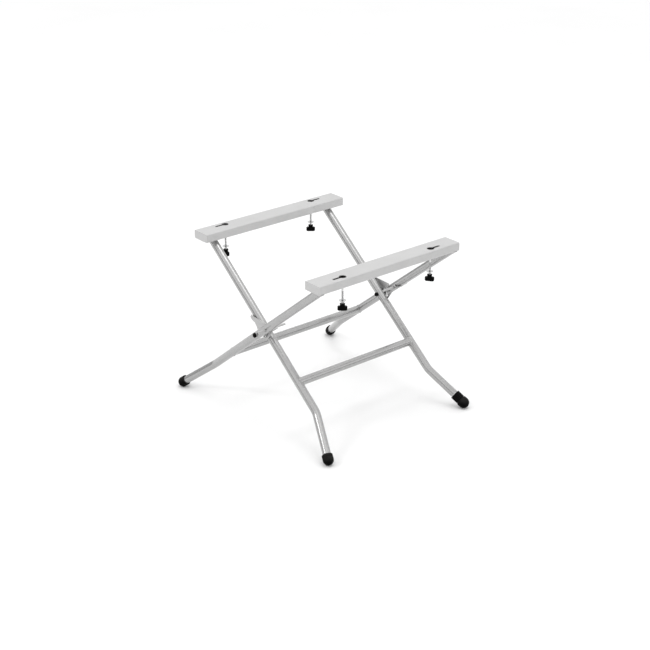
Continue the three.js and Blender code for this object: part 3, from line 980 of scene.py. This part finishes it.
@dataclass
class Crossbar:
    """The round tie bar between a frame's legs, coped to fit them, with its two welds."""

    frame: Frame

    @property
    def middle(self) -> Vector:
        """The bar's middle."""
        return Vector((0, 0, PLAN.pivot)) + self.frame.down * self.frame.crossbar_at

    def build(self) -> None:
        """Make the bar and its welds."""
        reach = AXIS_Y * self.frame.leg_y
        piece = Piece(f"{self.frame.word}_tie_bar", Primitive.CIRCLE,
                      vertices=PLAN.tube_sides, radius=PLAN.tube, fill_type="NOTHING",
                      location=self.middle - reach, rotation=(-math.pi / 2, 0, 0))
        with piece.editing(Domain.EDGE, everything=True):
            piece.extrude(2 * reach)
        piece.hollow(PLAN.wall)
        along = self.frame.down * 4 * PLAN.tube
        for side in Side:
            centre = self.middle + reach * side.sign
            piece.combine(Piece.rod(PLAN.tube + PLAN.gap, centre - along, centre + along, 64))
        hand_over(piece, self.frame.body, Finish.TUBE_PAINT, f"{self.frame.word}_crossbar")
        for side in Side:
            self._weld(side)

    def _weld(self, side: Side) -> None:
        """The weld round one coped end."""
        bead = weld_bead(f"{self.frame.word}_tie_weld_{side.word}", PLAN.tube + 0.2 * MM,
                         1.5 * MM, 24)
        bead.place(Matrix.Translation(self.middle) @ Matrix.Rotation(-math.pi / 2, 4, "X"))
        square = self.frame.down.cross(AXIS_Y)
        sink = 0.6 * MM

        def saddle(place: Vector) -> Vector:
            """One vertex, moved along Y onto the leg's round side."""
            aside = (place - self.middle).dot(square)
            depth = math.sqrt(max(0, PLAN.tube ** 2 - aside ** 2))
            inward = self.frame.leg_y - depth - sink
            return place + AXIS_Y * side.sign * inward

        bead.reshape(saddle)
        bead.tidy_normals()
        hand_over(bead, self.frame.body, Finish.WELD_PAINT)


# ---- Feet --------------------------------------------------------------------------------------
@dataclass
class Foot:
    """A pushed-on rubber foot with a ball end, a lip and moulded rings."""

    radius: float = 16.5
    grip: float = 16
    bore: float = 13
    floor: float = 4.5

    def profile(self) -> Outline:
        """The foot's outline, millimetres from the ball's centre up."""
        side = [(self.radius, 2, 3), (self.radius, 5.2, 0.5), (self.radius - 0.7, 5.8, 0.4),
                (self.radius - 0.7, 7.2, 0.4), (self.radius, 7.8, 0.5),
                (self.radius, self.grip, 1.2), (self.bore + 0.6, self.grip, 0.6),
                (self.bore, self.grip - 1.5, 0.5), (self.bore, self.floor, 0.5),
                (0, self.floor)]
        return rounded([*ball_arc(self.radius), *side], closed=False)

    def build(self, legs: Sequence[Leg]) -> None:
        """Make one and push a copy on each plain leg.

        Args:
            legs: The legs that end in a plain foot.
        """
        pattern = Piece.turned("rubber_foot_pattern", self.profile())
        for leg in legs:
            node = f"{leg.frame.word}_foot_{leg.side.word}"
            reach = foot_reach(self.radius * MM)
            foot = pattern.copy(f"rubber_{node}", leg.foot_matrix(reach))
            hand_over(foot, leg.frame.body, Finish.RUBBER, node)
        bpy.data.objects.remove(pattern.obj)


def foot_reach(radius: float) -> float:
    """How far past the bend a ball foot of this radius rests on the floor."""
    corner = PLAN.pivot - PLAN.bend_at * math.sin(PLAN.slope)
    return (corner - radius) / (math.sin(PLAN.slope) * math.cos(PLAN.bend))


@dataclass
class ScrewFoot:
    """The adjustable foot: bush, ribbed hand collar, threaded stud and ball foot."""

    ball: float = 18
    neck: float = 13.5
    collar_radius: float = 16.2
    collar_length: float = 24.5
    flange: float = 3
    ribs: int = 20
    stud: float = 6
    stud_length: float = 66
    pitch: float = 2.0
    plug_length: float = 20

    @property
    def bore(self) -> float:
        """The radius of the holes that the stud passes through."""
        return self.stud + 0.3

    @property
    def reach(self) -> float:
        """The ball's distance past the bend."""
        return foot_reach(self.ball * MM)

    @property
    def collar_end(self) -> float:
        """The collar's lower end, past the bend."""
        return self.reach - self.neck * MM - PLAN.gap

    @property
    def flange_start(self) -> float:
        """The bush's flange face against the tube."""
        return self.collar_end - (self.collar_length + self.flange) * MM - PLAN.gap

    def build(self, leg: Leg) -> None:
        """Make the four pieces on the short leg.

        Args:
            leg: The leg that ends in the adjustable foot.
        """
        hand_over(self._bush().place(leg.foot_matrix(self.flange_start)), "inner_frame",
                  Finish.ZINC, "adjuster_bush")
        hand_over(self._collar().place(leg.foot_matrix(self.collar_end)), "foot_collar",
                  Finish.PLASTIC, "adjuster_collar")
        hand_over(self._ball_foot().place(leg.foot_matrix(self.reach)), "screw_foot",
                  Finish.RUBBER, "adjuster_foot")
        stud = threaded_rod("threaded_stud", self.stud, self.pitch, self.stud_length)
        up = Matrix.Translation(AXIS_Z * PLAN.gap)
        hand_over(stud.place(leg.foot_matrix(self.reach) @ up), "screw_foot", Finish.ZINC,
                  "adjuster_stud", angle=25)

    def _bush(self) -> Piece:
        """The plug pressed into the tube."""
        edge = PLAN.tube / MM
        plug = edge - PLAN.wall / MM - 0.3
        profile = [(self.bore, self.plug_length, 0.4), (plug, self.plug_length, 1),
                   (plug, 0, 0.2), (edge, 0, 0.3), (edge, -self.flange, 0.8),
                   (self.bore, -self.flange, 0.4)]
        return Piece.turned("turned_bush", looped(profile))

    def _ball_foot(self) -> Piece:
        """The ball foot with its moulded neck."""
        side = [(self.ball, 3, 4), (self.ball - 0.5, self.neck - 3.5, 2),
                (self.ball - 2.4, self.neck, 1.2), (self.bore, self.neck, 0.4),
                (self.bore, 0, 0.2), (0, 0)]
        profile = rounded([*ball_arc(self.ball), *side], closed=False)
        return Piece.turned("ball_foot", profile)

    def _collar(self) -> Piece:
        """The hand collar with its ring of grip ribs."""
        radius, length = self.collar_radius, self.collar_length
        rim, depth = 2.6, 1.1
        profile = [(self.bore, 0, 0.4), (radius, 0, 1), (radius, 2.2), (radius, 3), (radius, 6),
                   (radius, length - 6), (radius, length - 3), (radius, length - 2.2),
                   (radius, length, 1), (self.bore, length, 0.4)]
        piece = Piece.turned("ribbed_collar", looped(profile), steps=8 * self.ribs)

        def groove(place: Vector) -> Vector:
            """One vertex, sunk where it lies between two ribs."""
            out = place.xy.length / MM
            if out < radius - 0.2 or not rim < place.z / MM < length - rim:
                return place
            wave = math.cos(math.atan2(place.y, place.x) * self.ribs)
            sink = 1 - depth * min(1, max(0, 0.5 - wave)) / radius
            return Vector((place.x * sink, place.y * sink, place.z))

        return piece.reshape(groove)


def threaded_rod(name: str, radius: float, pitch: float, length: float) -> Piece:
    """A rod with a true helical thread, standing on the origin.

    Args:
        name: The object's name.
        radius: The thread's outer radius, in millimetres.
        pitch: Its pitch, in millimetres.
        length: The rod's length, in millimetres.

    Returns:
        The closed rod.
    """
    root = radius - 0.55 * pitch
    tooth = [(root, 0), (radius, 0.38 * pitch), (radius, 0.5 * pitch), (root, 0.88 * pitch),
             (root, pitch)]
    piece = Piece.wire(name, [Vector((out * MM, 0, up * MM)) for out, up in tooth])
    turns = int(length / pitch) - 1
    piece.modify("SCREW", angle=FULL_TURN, screw_offset=pitch * MM, iterations=turns, steps=24,
                 render_steps=24, use_merge_vertices=True, merge_threshold=1e-6)
    return piece.close()


# ---- Hinge and lock ----------------------------------------------------------------------------
@dataclass
class Crossing:
    """The hinge, the stop plate and the lock lever where two legs cross."""

    side: Side
    plate: float = 2.7
    lever: float = 2.2
    disc: float = 2.6
    disc_radius: float = 15
    disc_sides: int = 60
    lever_gap: float = 0.9
    plate_gap: float = 0.4
    washer: float = 1.5
    stack: dict[str, float] = field(default_factory=dict)

    def __post_init__(self) -> None:
        """Work out the places of the stacked pieces along Y, in millimetres from the middle."""
        inner_face = (Frame.INNER.leg_y + PLAN.tube + PLAN.gap) / MM
        outer_face = (Frame.OUTER.leg_y + PLAN.tube + PLAN.gap) / MM
        lever_face = inner_face + self.lever_gap
        self.stack = {
            "disc": inner_face,
            "lever": lever_face,
            "plate": lever_face + self.lever + self.plate_gap,
            "washer": outer_face,
            "head": outer_face + self.washer + PLAN.gap / MM,
            "nut": (Frame.INNER.leg_y - PLAN.tube - PLAN.gap) / MM,
        }

    @property
    def matrix(self) -> Matrix:
        """Takes a piece made for the right-hand side, at the hinge's height, to its place."""
        mirror = Matrix.Scale(self.side.sign, 4, AXIS_Y)
        return Matrix.Translation(AXIS_Z * PLAN.pivot) @ mirror

    def lathe_matrix(self, at: Vector) -> Matrix:
        """Lays a turned piece along Y, pointing outwards, with its axis through a point."""
        turn = Matrix.Rotation(-self.side.sign * math.pi / 2, 4, "X")
        return Matrix.Translation(Vector((at.x, 0, at.z))) @ turn

    def build(self) -> None:
        """Make every piece of the crossing."""
        self._stop_plate()
        self._lock_disc()
        self._lock_lever()
        self._hinge_bolt()
        self._rivet_and_spring()

    @staticmethod
    def beside(frame: Frame, along: float, above: float) -> tuple[float, float]:
        """A point beside a leg, in X and Z from the hinge, in millimetres.

        Args:
            frame: The leg's frame.
            along: Distance up the leg.
            above: Distance square to it, on its upper side.

        Returns:
            The point.
        """
        x = along * math.cos(PLAN.slope) - above * math.sin(PLAN.slope)
        z = along * math.sin(PLAN.slope) + above * math.cos(PLAN.slope)
        return -frame.lean * x, z

    @staticmethod
    def _drilled(piece: Piece, radius: float, x: float = 0, z: float = 0) -> Piece:
        """Drill a hole along Y through a plate that still has the hinge at height nought."""
        near, far = Vector((x, 0.2, z)), Vector((x, 0.3, z))
        return piece.combine(Piece.rod(radius, near, far, 40))

    def _bend_tab(self, piece: Piece, frame: Frame, tab: Outline, levels: tuple[float, float],
                  run: float) -> None:
        """Bend a tab square out of a plate's lower edge and run it on along Y.

        Args:
            piece: The plate.
            frame: The frame whose legs the edge lies along.
            tab: The edge's two ends, in X and Z.
            levels: The places along Y of the sheet's middle and of the line it bends about.
            run: The straight part after the bend, along Y.
        """
        middle_x, middle_z = ((a + b) / 2 for a, b in zip(*tab))
        edge, centre = (Vector((middle_x, level, middle_z)) * MM for level in levels)
        downward = Vector((*self.beside(frame, 0, -1), 0)).xzy
        along = Vector((*self.beside(frame, 1, 0), 0)).xzy
        piece.fold_out(facing(downward, edge, 3 * MM), centre, along, math.pi / 2,
                       AXIS_Y * run * MM)

    def _stop_plate(self) -> None:
        """The plate on the outer leg, with its tab bent in under the inner leg."""
        inner_bend = 1.4
        reach = 26
        low = -(PLAN.tube / MM) - 0.4 - 3
        fold = low + self.plate + inner_bend
        near, far = (self.beside(Frame.INNER, end, fold) for end in (55, 67))
        corners = [(23, 36, 3), (-50, 39, 4), (*self.beside(Frame.INNER, 69, 0), 3), far, near,
                   (-37, 21, 5), (-28, 11, 8), (-22, -3, 6), (-8, -13, 6), (9, -10, 6)]
        face = self.stack["plate"]
        piece = Piece.sheet(f"stop_plate_body_{self.side.word}", rounded(corners),
                            self.plate * MM, face * MM)
        self._bend_tab(piece, Frame.INNER, (near, far),
                       (face + self.plate / 2, face - inner_bend),
                       self.plate + inner_bend - reach)
        self._drilled(piece, PLAN.pivot_bore).bevel(0.35 * MM, 2, 40).place(self.matrix)
        hand_over(piece, "outer_frame", Finish.PLATE_PAINT, f"stop_plate_{self.side.word}",
                  flat=True)

    def _lock_disc(self) -> None:
        """The notched disc on the inner leg."""
        turns = [FULL_TURN * step / self.disc_sides for step in range(self.disc_sides)]
        corners = [(self.disc_radius * math.cos(turn), self.disc_radius * math.sin(turn))
                   for turn in turns]
        piece = Piece.sheet(f"notched_disc_{self.side.word}", rounded(corners), self.disc * MM,
                            self.stack["disc"] * MM)
        x, z = self.beside(Frame.OUTER, 0, -self.disc_radius)
        middle = Vector((x, self.stack["disc"] + self.disc / 2, z)) * MM
        notch = Vector((8, 9, 6)) * MM
        cutter = Piece("notch", Primitive.CUBE, size=1, scale=notch,
                       location=middle, rotation=(0, -PLAN.slope, 0))
        piece.combine(cutter)
        self._drilled(piece, PLAN.pivot_bore).bevel(0.3 * MM, 2, 40).place(self.matrix)
        hand_over(piece, "inner_frame", Finish.ZINC, f"lock_disc_{self.side.word}",
                  flat=True)

    def _lock_lever(self) -> None:
        """The lever along the outer leg, with its finger tab bent out below the leg."""
        inner_bend = 1.2
        reach = 24
        nose, low = -15.5, -PLAN.tube / MM - 0.3 - 5
        fold = low + self.lever + inner_bend
        near, far = 68, 80
        local = [(-4, nose, 1), (4, nose, 1), (8, nose - 4, 3), (49, -2, 4), (52, 2.2, 4),
                 (64, 2.2, 5), (67, -4, 4), (far, fold), (near, fold), (50, -13, 4),
                 (8, nose - 10, 4), (-3, nose - 8, 2)]
        corners = [(*self.beside(Frame.OUTER, a, n), *rest) for a, n, *rest in local]
        face = self.stack["lever"]
        piece = Piece.sheet(f"lever_body_{self.side.word}", rounded(corners),
                            self.lever * MM, face * MM)
        tab = [self.beside(Frame.OUTER, end, fold) for end in (near, far)]
        self._bend_tab(piece, Frame.OUTER, tab,
                       (face + self.lever / 2, face + self.lever + inner_bend),
                       reach - self.lever - inner_bend - 1)
        rivet = PLAN.rivet - AXIS_Z * PLAN.pivot
        self._drilled(piece, PLAN.rivet_bore, rivet.x, rivet.z)
        piece.bevel(0.35 * MM, 2, 40).place(self.matrix)
        hand_over(piece, f"lever_{self.side.word}", Finish.PLATE_PAINT,
                  f"lock_lever_{self.side.word}", flat=True)

    def _hinge_bolt(self) -> None:
        """The hinge bolt with its washer, plastic head cap and cap nut."""
        bore = PLAN.pivot_bore / MM
        washer, head, nut = self.stack["washer"], self.stack["head"], self.stack["nut"]
        hinge = Vector((0, 0, PLAN.pivot))
        washer_top, washer_edge = washer + self.washer, 9
        ring = looped([(bore, washer, 0.15), (washer_edge, washer, 0.3),
                       (washer_edge, washer_top, 0.4), (bore, washer_top, 0.15)])
        bolt_head, head_top, shank, tip = 5.8, head + 4, 4, nut - 5.7
        cap_foot, roof, cap_wall = head + 0.3, head_top + 0.3, 6.1
        nut_floor, nut_edge = nut - 6.4, 6.5
        recipes = [
            ("hinge_washer", Finish.ZINC, "pivot_washer", ring),
            ("hinge_bolt", Finish.ZINC, "pivot_bolt", rounded(
                [(0, head_top), (bolt_head, head_top, 0.8), (bolt_head, head, 0.3),
                 (shank, head, 0.2), (shank, tip, 0.5), (0, tip)], closed=False)),
            ("bolt_head_cap", Finish.PLASTIC, "pivot_cap", rounded(
                [(0, roof + 2), (4.2, roof + 1.9, 3), (7.4, roof - 0.4, 2), (7.6, cap_foot, 0.4),
                 (cap_wall, cap_foot, 0.2), (cap_wall, roof, 0.2), (0, roof)],
                closed=False)),
            ("capped_nut", Finish.PLASTIC, "pivot_nut", rounded(
                [(0, nut_floor), (bore, nut_floor, 0.3), (bore, nut, 0.2), (nut_edge, nut, 0.6),
                 (nut_edge, nut - 4.5, 1.5), (4.6, nut - 7.6, 1.5), (0, nut - 8)],
                closed=False)),
        ]
        for name, finish, node, profile in recipes:
            piece = Piece.turned(f"{name}_{self.side.word}", profile)
            hand_over(piece.place(self.lathe_matrix(hinge)), "inner_frame", finish,
                      f"{node}_{self.side.word}")

    def _rivet_and_spring(self) -> None:
        """The lever's rivet, and the torsion spring wound round it."""
        inner, outer = self.stack["lever"] - 0.8, self.stack["washer"]
        edge, shank = 4.6, 3
        profile = rounded([(0, outer + 2), (2.4, outer + 1.9, 1.5), (edge, outer + 0.5, 0.8),
                           (edge, outer, 0.1), (shank, outer, 0.1), (shank, inner + 0.5, 0.1),
                           (edge, inner + 0.5, 0.1), (4.4, inner, 0.2), (0, inner)],
                          closed=False)
        rivet = Piece.turned(f"lever_pin_{self.side.word}", profile, 36)
        hand_over(rivet.place(self.lathe_matrix(PLAN.rivet)), "outer_frame", Finish.DULL_ZINC,
                  f"lever_rivet_{self.side.word}")
        wire, pitch, coil = 0.4 * MM, 0.9 * MM, 5 * MM
        start = self.stack["plate"] * MM + wire
        spring = Piece(f"torsion_spring_{self.side.word}", Primitive.CIRCLE, vertices=12,
                       radius=wire, fill_type="NOTHING", location=(coil, 0, start),
                       rotation=(math.pi / 2, 0, 0))
        spring.modify("SCREW", angle=FULL_TURN, screw_offset=pitch, iterations=2, steps=40,
                      render_steps=40, use_merge_vertices=False)
        hand_over(spring.close().place(self.lathe_matrix(PLAN.rivet)), "outer_frame",
                  Finish.ZINC, f"lever_spring_{self.side.word}")


# ---- Bars and clamps ---------------------------------------------------------------------------
@dataclass
class Bar:
    """A flat work bar of rectangular tube with keyholes and welded end plates."""

    frame: Frame
    wall: float = 2 * MM
    corner: float = 4 * MM
    keyhole: float = 11 * MM
    slot: float = 4.4 * MM
    slot_reach: float = 33 * MM
    plate: float = 2 * MM
    sharp: float = math.radians(50)

    @property
    def outward(self) -> int:
        """The direction along X of the bar's outer side."""
        return -self.frame.lean

    def build(self) -> None:
        """Make the bar and its end plates."""
        low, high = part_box(f"{self.frame.bar}_bar")
        size = high - low
        middle = (low + high) / 2
        piece = Piece(f"{self.frame.bar}_work_bar", Primitive.CUBE, size=1,
                      scale=size + AXIS_Y * 1.8 * PLAN.gap, location=middle)
        with piece.editing(Domain.FACE):
            piece.pick(Domain.FACE, lambda face: abs(face.normal.y) > 0.9)
            bpy.ops.mesh.delete(type="ONLY_FACE")
        with piece.editing(Domain.EDGE):
            piece.bevel_edges(lambda edge: not edge.is_boundary, self.corner, 7)
        piece.hollow(self.wall)
        for side in Side:
            x = middle.x + self.outward * PLAN.keyhole_out
            self._keyhole(piece, Vector((x, side.sign * PLAN.keyhole_y, high.z)), self.keyhole)
            self._keyhole(piece, Vector((x, side.sign * PLAN.keyhole_y, low.z)))
        end = size.y / 2 - 1 * MM
        with piece.editing(Domain.EDGE):
            piece.bevel_edges(lambda edge: edge.is_manifold
                              and edge.calc_face_angle() > self.sharp
                              and abs(edge.verts[0].co.y) < end, 0.3 * MM, 2)
        hand_over(piece, self.frame.body, Finish.BAR_PAINT, f"{self.frame.bar}_bar", flat=True)
        for side in Side:
            self._end_plate(side, size, middle)

    def _keyhole(self, piece: Piece, start: Vector, round_radius: float = 0) -> None:
        """Cut a slot through one wall, and a round hole at its inner end.

        Args:
            piece: The bar.
            start: The slot's inner end.
            round_radius: The round hole's radius, if there is one.
        """
        end = start + AXIS_Y * math.copysign(self.slot_reach, start.y)
        rise = AXIS_Z * 2 * self.wall
        cuts = [Piece.rod(self.slot, start - rise, start + rise),
                Piece.rod(self.slot, end - rise, end + rise),
                Piece("slot", Primitive.CUBE, size=1, location=(start + end) / 2,
                      scale=(2 * self.slot, self.slot_reach, 4 * self.wall))]
        if round_radius:
            cuts.append(Piece.rod(round_radius, start - rise, start + rise, 48))
        for cut in cuts:
            piece.combine(cut)

    def _end_plate(self, side: Side, size: Vector, middle: Vector) -> None:
        """The welded plate that closes one end."""
        wide, high = size.x / MM / 2, size.z / MM / 2
        radius = self.corner / MM
        corners = [(wide, high, radius), (-wide, high, radius), (-wide, -high, radius),
                   (wide, -high, radius)]
        piece = Piece.sheet(f"{self.frame.bar}_end_plate_{side.word}", rounded(corners, steps=7),
                            self.plate, 0)
        outer = self.plate if side is Side.RIGHT else 0
        with piece.editing(Domain.EDGE):
            piece.bevel_edges(lambda edge: all(
                abs(v.co.y - outer) < 0.1 * MM for v in edge.verts), 0.35 * MM, 3)
        face = size.y / 2 + PLAN.gap
        start = face if side is Side.RIGHT else -face - self.plate
        piece.place(Matrix.Translation(Vector((middle.x, start, middle.z))))
        hand_over(piece, self.frame.body, Finish.BAR_PAINT,
                  f"{self.frame.bar}_bar_end_{side.word}", flat=True)


@dataclass
class Clamp:
    """A hanging clamp screw: bolt head inside the bar, threaded rod, washer and wing knob."""

    frame: Frame
    side: Side
    turn: float
    thread: float = 3
    pitch: float = 1
    long: float = 29
    wide: float = 14.5

    @property
    def place(self) -> str:
        """The clamp's name in node names."""
        return f"{self.frame.bar}_{self.side.word}"

    @property
    def matrix(self) -> Matrix:
        """The clamp's upright axis on the floor, with the knob's own turn."""
        low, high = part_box(f"clamp_knob_{self.place}")
        across = (low + high) / 2
        at = Vector((across.x, self.side.sign * PLAN.keyhole_y, 0))
        return Matrix.Translation(at) @ Matrix.Rotation(math.radians(self.turn), 4, "Z")

    def build(self) -> None:
        """Make the bolt, the washer and the knob."""
        for piece, body, finish, node in (
                (self._bolt(), "clamp", Finish.ZINC, "clamp_bolt"),
                (self._washer(), "clamp", Finish.ZINC, "clamp_washer"),
                (self._knob(), "knob", Finish.PLASTIC, "clamp_knob")):
            piece.place(self.matrix)
            hand_over(piece, f"{body}_{self.place}", finish, f"{node}_{self.place}", angle=28)

    def _levels(self, node: str) -> tuple[float, float]:
        """The lowest and highest points of one of the clamp's nodes, in millimetres."""
        low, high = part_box(f"{node}_{self.place}")
        return low.z / MM, high.z / MM

    def _bolt(self) -> Piece:
        """The bolt: domed head, plain shank and threaded lower rod."""
        low, high = self._levels("clamp_bolt")
        shank_end, head_foot, head_edge = high - 22, high - 3, 7
        profile = rounded([(0, high), (5.2, high - 0.2, 3), (head_edge, high - 1.6, 0.8),
                           (head_edge, head_foot, 0.2), (self.thread, head_foot, 0.3),
                           (self.thread, shank_end, 0.2), (0, shank_end)], closed=False)
        piece = Piece.turned(f"clamp_screw_{self.place}", profile, 36)
        rod = threaded_rod("thread", self.thread, self.pitch, shank_end - low + 1.5)
        rod.place(Matrix.Translation(AXIS_Z * low * MM))
        return piece.absorb(rod)

    def _washer(self) -> Piece:
        """The loose steel washer above the knob."""
        low, high = self._levels("clamp_washer")
        bore, edge = self.thread + 0.3, 10.5
        ring = looped([(bore, low, 0.2), (edge, low, 0.5), (edge, high, 0.4), (bore, high, 0.3)])
        return Piece.turned(f"clamp_plate_washer_{self.place}", ring)

    def _knob(self) -> Piece:
        """The T-shaped knob: a round collar on a fat bar with rounded ends."""
        low, high = self._levels("clamp_knob")
        wing_top, near = high - 8.6, 0.5
        wing = Piece(f"wing_knob_{self.place}", Primitive.CUBE, size=1,
                     scale=(self.wide * MM, self.long * MM, (wing_top - low) * MM),
                     location=(0, 0, (wing_top + low) / 2 * MM))
        with wing.editing(Domain.EDGE):
            wing.bevel_edges(lambda edge: abs(
                (edge.verts[0].co - edge.verts[1].co).normalized().z) > 0.9, 6.6 * MM, 8)
            wing.bevel_edges(lambda edge: all(
                v.co.z < (low + near) * MM for v in edge.verts), 3.6 * MM, 6)
            wing.bevel_edges(lambda edge: all(
                v.co.z > (wing_top - near) * MM for v in edge.verts), 1.9 * MM, 5)
        rim, waist, root = 7.9, 7.3, wing_top - 3
        collar = Piece.turned("collar", rounded(
            [(0, high), (rim, high, 0.9), (rim, high - 2.6, 0.4), (waist, high - 3.2, 0.4),
             (waist, wing_top + 1, 1.5), (rim, wing_top - 1), (rim, root), (0, root)],
            closed=False), 40)
        wing.combine(collar, "UNION")
        top = Vector((0, 0, (high + 3) * MM))
        wing.combine(Piece.rod((self.thread + 0.3) * MM, Vector((0, 0, (low + 3.7) * MM)), top))
        return wing


# ---- Studio ------------------------------------------------------------------------------------
@dataclass
class Studio:
    """The camera, the pale floor and the soft lights."""

    azimuth: float = 50.067
    elevation: float = 24.258
    distance: float = 4.3334
    field_of_view: float = 26.4668
    aim_drop: float = 258.5 * MM
    shift_right: float = -1.38 * MM
    shift_up: float = -36.66 * MM

    def build(self) -> None:
        """Set the stage."""
        self._camera()
        self._floor()
        self._lights()
        bpy.context.scene.view_settings.view_transform = "Standard"

    def _axes(self) -> tuple[Vector, Vector, Vector]:
        """The camera's right, up and backward directions."""
        turn, rise = math.radians(self.azimuth), math.radians(self.elevation)
        right = Vector((math.cos(turn), math.sin(turn), 0))
        back = Vector((math.sin(turn) * math.cos(rise), -math.cos(turn) * math.cos(rise),
                       math.sin(rise)))
        return right, back.cross(right), back

    def _camera(self) -> None:
        """The camera, aimed near the hinge."""
        right, up, back = self._axes()
        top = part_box("front_bar")[1].z
        aim = AXIS_Z * (top - self.aim_drop) + right * self.shift_right
        place = aim + up * self.shift_up + back * self.distance
        data = bpy.data.cameras.new("studio_camera")
        data.sensor_fit = "HORIZONTAL"
        data.angle = math.radians(self.field_of_view)
        camera = bpy.data.objects.new("studio_camera", data)
        bpy.context.collection.objects.link(camera)
        camera.matrix_world = Matrix.Translation(place) @ Matrix((right, up, back)).transposed(
            ).to_4x4()
        bpy.context.scene.camera = camera

    def _floor(self) -> None:
        """A wide pale floor."""
        floor = Piece("studio_floor", Primitive.PLANE, size=60)
        floor.obj.data.materials.append(Plaster().material())
        floor.obj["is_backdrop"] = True

    @staticmethod
    def _sky(tree: bpy.types.NodeTree, strength: float = 1.34) -> None:
        """A white tent over the stand, with grey bands at the horizon and overhead.

        Args:
            tree: The world's node tree.
            strength: How bright its white is.
        """
        place = tree.nodes.new("ShaderNodeTexCoord")
        split = tree.nodes.new("ShaderNodeSeparateXYZ")
        ramp = tree.nodes.new("ShaderNodeValToRGB")
        stops = ((0.16, 0.24), (0.36, 1.0), (0.52, 1.0), (0.68, 0.7), (0.95, 1.0))
        Paint.set_stops(ramp.color_ramp, stops)
        tree.links.new(place.outputs["Generated"], split.inputs[0])
        tree.links.new(split.outputs["Z"], ramp.inputs["Fac"])
        background = tree.nodes["Background"]
        background.inputs["Strength"].default_value = strength
        tree.links.new(ramp.outputs["Color"], background.inputs["Color"])

    def _lights(self) -> None:
        """A white surround and three soft boxes."""
        world = bpy.data.worlds.new("studio_world")
        bpy.context.scene.world = world
        world.use_nodes = True
        self._sky(world.node_tree)
        for name, place, size, power in (
                ("key", (-1.2, -3.2, 3.4), 0.8, 24),
                ("fill", (3.8, 1.0, 1.8), 2.0, 6),
                ("top", (0.3, 0.4, 3.6), 1.4, 16)):
            data = bpy.data.lights.new(name, "AREA")
            data.size = size
            data.energy = power
            lamp = bpy.data.objects.new(name, data)
            bpy.context.collection.objects.link(lamp)
            lamp.location = place
            aim = Vector((0, 0, 0.3)) - Vector(place)
            lamp.rotation_euler = aim.to_track_quat("-Z", "Y").to_euler()


# ---- Assembly ----------------------------------------------------------------------------------
def build_frames() -> None:
    """Make both frames with their bars, feet and tie bars."""
    foot, screw_foot = Foot(), ScrewFoot()
    plain_end = foot_reach(foot.radius * MM) - foot.floor * MM - PLAN.gap
    short_end = screw_foot.flange_start - PLAN.gap
    plain_legs: list[Leg] = []
    for tube_frame in Frame:
        for side in Side:
            short = tube_frame is Frame.INNER and side is Side.RIGHT
            leg = Leg(tube_frame, side, short_end if short else plain_end)
            leg.build()
            if short:
                screw_foot.build(leg)
            else:
                plain_legs.append(leg)
        Crossbar(tube_frame).build()
        Bar(tube_frame).build()
    foot.build(plain_legs)


def build_clamps() -> None:
    """Make the four clamps, each knob left at its own turn."""
    turns = {"rear_left": 84, "rear_right": -40, "front_left": -40, "front_right": -55}
    for tube_frame in Frame:
        for side in Side:
            Clamp(tube_frame, side, turns[f"{tube_frame.bar}_{side.word}"]).build()


def write_sizes() -> None:
    """Gather the frame's box and the finished model's box as plain lists."""
    boxes = {"cad": CAD_BOX, "visual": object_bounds()}
    plain = {name: [list(map(float, corner)) for corner in box] for name, box in boxes.items()}


def main() -> None:
    """Build the stand and its studio."""
    logging.basicConfig(level=logging.INFO, format="%(name)s %(message)s")
    Studio().build()
    build_frames()
    for side in Side:
        Crossing(side).build()
    build_clamps()
    write_sizes()


if __name__ == "__main__":
    main()
